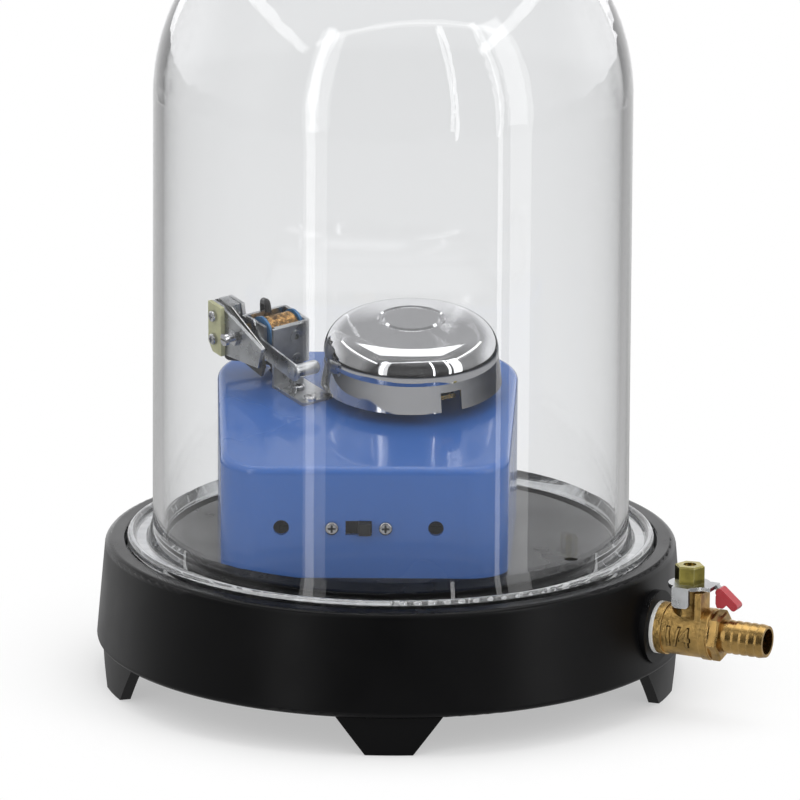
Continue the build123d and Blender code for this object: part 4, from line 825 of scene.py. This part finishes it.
@dataclass
class ThreadSizeMark:
    """The valve's pipe size, cast proud on the front of its body; a larger, darker copy beneath it is painted
    shade round the digits.
    """

    text: str = "1/4"
    wide: float = 0.0092
    tall: float = 0.0072
    proud: float = 0.0008
    swell: float = 0.018
    name: str = "size_mark"
    lift: float = math.radians(-4.0)
    shift: float = -0.0008
    stand_off: float = 1.3
    cuts: int = 5

    def build(self, node: bpy.types.Object) -> bpy.types.Object:
        """Raise the size mark on the body.

        Args:
            node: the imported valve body.

        Returns:
            The mark.
        """
        axial = Vector((math.cos(VALVE_TURN), math.sin(VALVE_TURN), 0.0))
        level = Vector((math.sin(VALVE_TURN), -math.cos(VALVE_TURN), 0.0))
        axes = LocalAxes(axial, level * -1.0, Vector((0.0, 0.0, 1.0)))
        outward = level * math.cos(self.lift) + axes.up * math.sin(self.lift)
        upward = axes.up * math.cos(self.lift) - level * math.sin(self.lift)
        washer = axes.middle(bpy.data.objects["valve_washer"])
        hexagon = axes.span(bpy.data.objects["barb_washer"], axial)[0]
        at = washer + axial * ((hexagon - washer.dot(axial)) / 2.0 + self.shift)
        reach = (axes.span(node, axes.back)[1] - axes.span(node, axes.back)[0]) / 2.0
        deselect_all()
        bpy.ops.object.text_add(location=at + outward * reach * self.stand_off,
                                rotation=axes.turned(axial, upward, outward))
        mark = bpy.context.object
        mark.name = self.name
        mark.data.body = self.text
        mark.data.align_x = "CENTER"
        mark.data.align_y = "CENTER"
        mark.data.offset = self.swell
        bpy.ops.object.convert(target="MESH")
        mark.scale = (self.wide / mark.dimensions[0], self.tall / mark.dimensions[1], 1.0)
        bpy.ops.object.mode_set(mode="EDIT")
        bpy.ops.mesh.select_all(action="SELECT")
        bpy.ops.mesh.remove_doubles(threshold=0.001)
        bpy.ops.mesh.subdivide(number_cuts=self.cuts)
        bpy.ops.object.mode_set(mode="OBJECT")
        wrap = mark.modifiers.new("wrap", "SHRINKWRAP")
        wrap.target = node
        wrap.wrap_method = "PROJECT"
        wrap.use_project_z = True
        wrap.use_negative_direction = True
        wrap.use_positive_direction = False
        thick = mark.modifiers.new("thick", "SOLIDIFY")
        thick.thickness = 2.0 * self.proud
        thick.offset = 0.0
        settle(mark)
        return mark


@dataclass
class RecessShadeCrosses:
    """Painted shade: dark crosses laid in the cross recesses of the two switch screws' heads, where shade
    falls.
    """

    head_r: float = 0.0025
    length: float = 0.00286
    wide: float = 0.00079
    thick: float = 0.00006
    sunk: float = 0.0003

    def build(self, node: bpy.types.Object) -> bpy.types.Object:
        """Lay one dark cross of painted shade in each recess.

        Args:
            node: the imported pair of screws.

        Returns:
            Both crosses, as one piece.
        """
        axes = LocalAxes(Vector((1.0, 0.0, 0.0)), Vector((0.0, 1.0, 0.0)), Vector((0.0, 0.0, 1.0)))
        left, right = axes.span(node, axes.along)
        depth = axes.span(node, axes.back)[0] + self.sunk
        level = axes.middle(node).z
        bars = []
        for place in (left + self.head_r, right - self.head_r):
            for size in ((self.length, self.thick, self.wide), (self.wide, self.thick, self.length)):
                deselect_all()
                bpy.ops.mesh.primitive_cube_add(size=1.0, location=(place, depth, level))
                bar = bpy.context.object
                bar.scale = size
                settle(bar)
                bars.append(bar)
        for bar in bars:
            bar.select_set(True)
        bpy.context.view_layer.objects.active = bars[0]
        bpy.ops.object.join()
        bars[0].name = "recess_painted_shade"
        deselect_all()
        return bars[0]


# ---------------------------------------------------------------------------------------------
# the whole object
# ---------------------------------------------------------------------------------------------
class Chamber:
    """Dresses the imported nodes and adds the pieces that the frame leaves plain."""

    def __init__(self, frame: dict) -> None:
        """Keep the frame and build the finishes.
        """
        self.nodes: dict[str, bpy.types.Object] = frame["nodes"]
        self.slots: dict[str, str] = {s["node"]: s["material_slot"] for s in frame["record"]["subparts"]}
        self.wardrobe = Wardrobe()

    def dress_nodes(self) -> None:
        """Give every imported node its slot's finish."""
        for name, piece in self.nodes.items():
            self.wardrobe.dress(piece, self.slots[name])
            LOG.info("dressed %s as %s", name, self.slots[name])

    def add(self, piece: bpy.types.Object, body: Body, slot: str, finish: str = "") -> bpy.types.Object:
        """Dress a new piece and let it ride on its body.

        Args:
            piece: the new piece.
            body: the CAD body that carries it.
            slot: the record's slot of its finish.
            finish: the finish to wear, where it isn't the slot's own.

        Returns:
            The piece.
        """
        self.wardrobe.dress(piece, finish or slot)
        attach(piece, body.value)
        LOG.info("added %s on %s", piece.name, body.value)
        return piece

    def add_fine_pieces(self) -> None:
        """Add the wound coil, the gong's dots, the valve's size mark with a darker copy under it as painted
        shade, and dark crosses as painted shade in the screws' recesses.
        """
        winding = self.nodes["coil_winding"]
        coil = self.add(CoilTurns().build(winding), Body.CHAMBER, self.slots["coil_winding"])
        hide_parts("coil_winding")
        self.add(GongBeads().build(self.nodes["gong"]), Body.CHAMBER, self.slots["gong"])
        valve = self.nodes["valve_body"]
        self.add(ThreadSizeMark().build(valve), Body.CHAMBER, self.slots["valve_body"])
        # a larger, darker copy of the mark beneath it, in the tarnished brass finish: painted shade round the
        # digits' edges
        painted_outline = ThreadSizeMark(wide=0.0100, tall=0.0080, proud=0.0002, swell=0.045, name="size_mark_shade")
        self.add(painted_outline.build(valve), Body.CHAMBER, self.slots["valve_body"], "tarnished_brass")
        # dark crosses in black plastic: painted shade in the screws' recesses
        self.add(RecessShadeCrosses().build(self.nodes["switch_screws"]), Body.CHAMBER, "black_plastic")


def main() -> None:
    """Build the whole scene in order."""
    logging.basicConfig(level=logging.INFO, format="%(name)s: %(message)s")
    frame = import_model()
    deselect_all()
    Studio().build()
    StudioCamera().build()
    chamber = Chamber(frame)
    chamber.dress_nodes()
    chamber.add_fine_pieces()


if __name__ == "__main__":
    main()
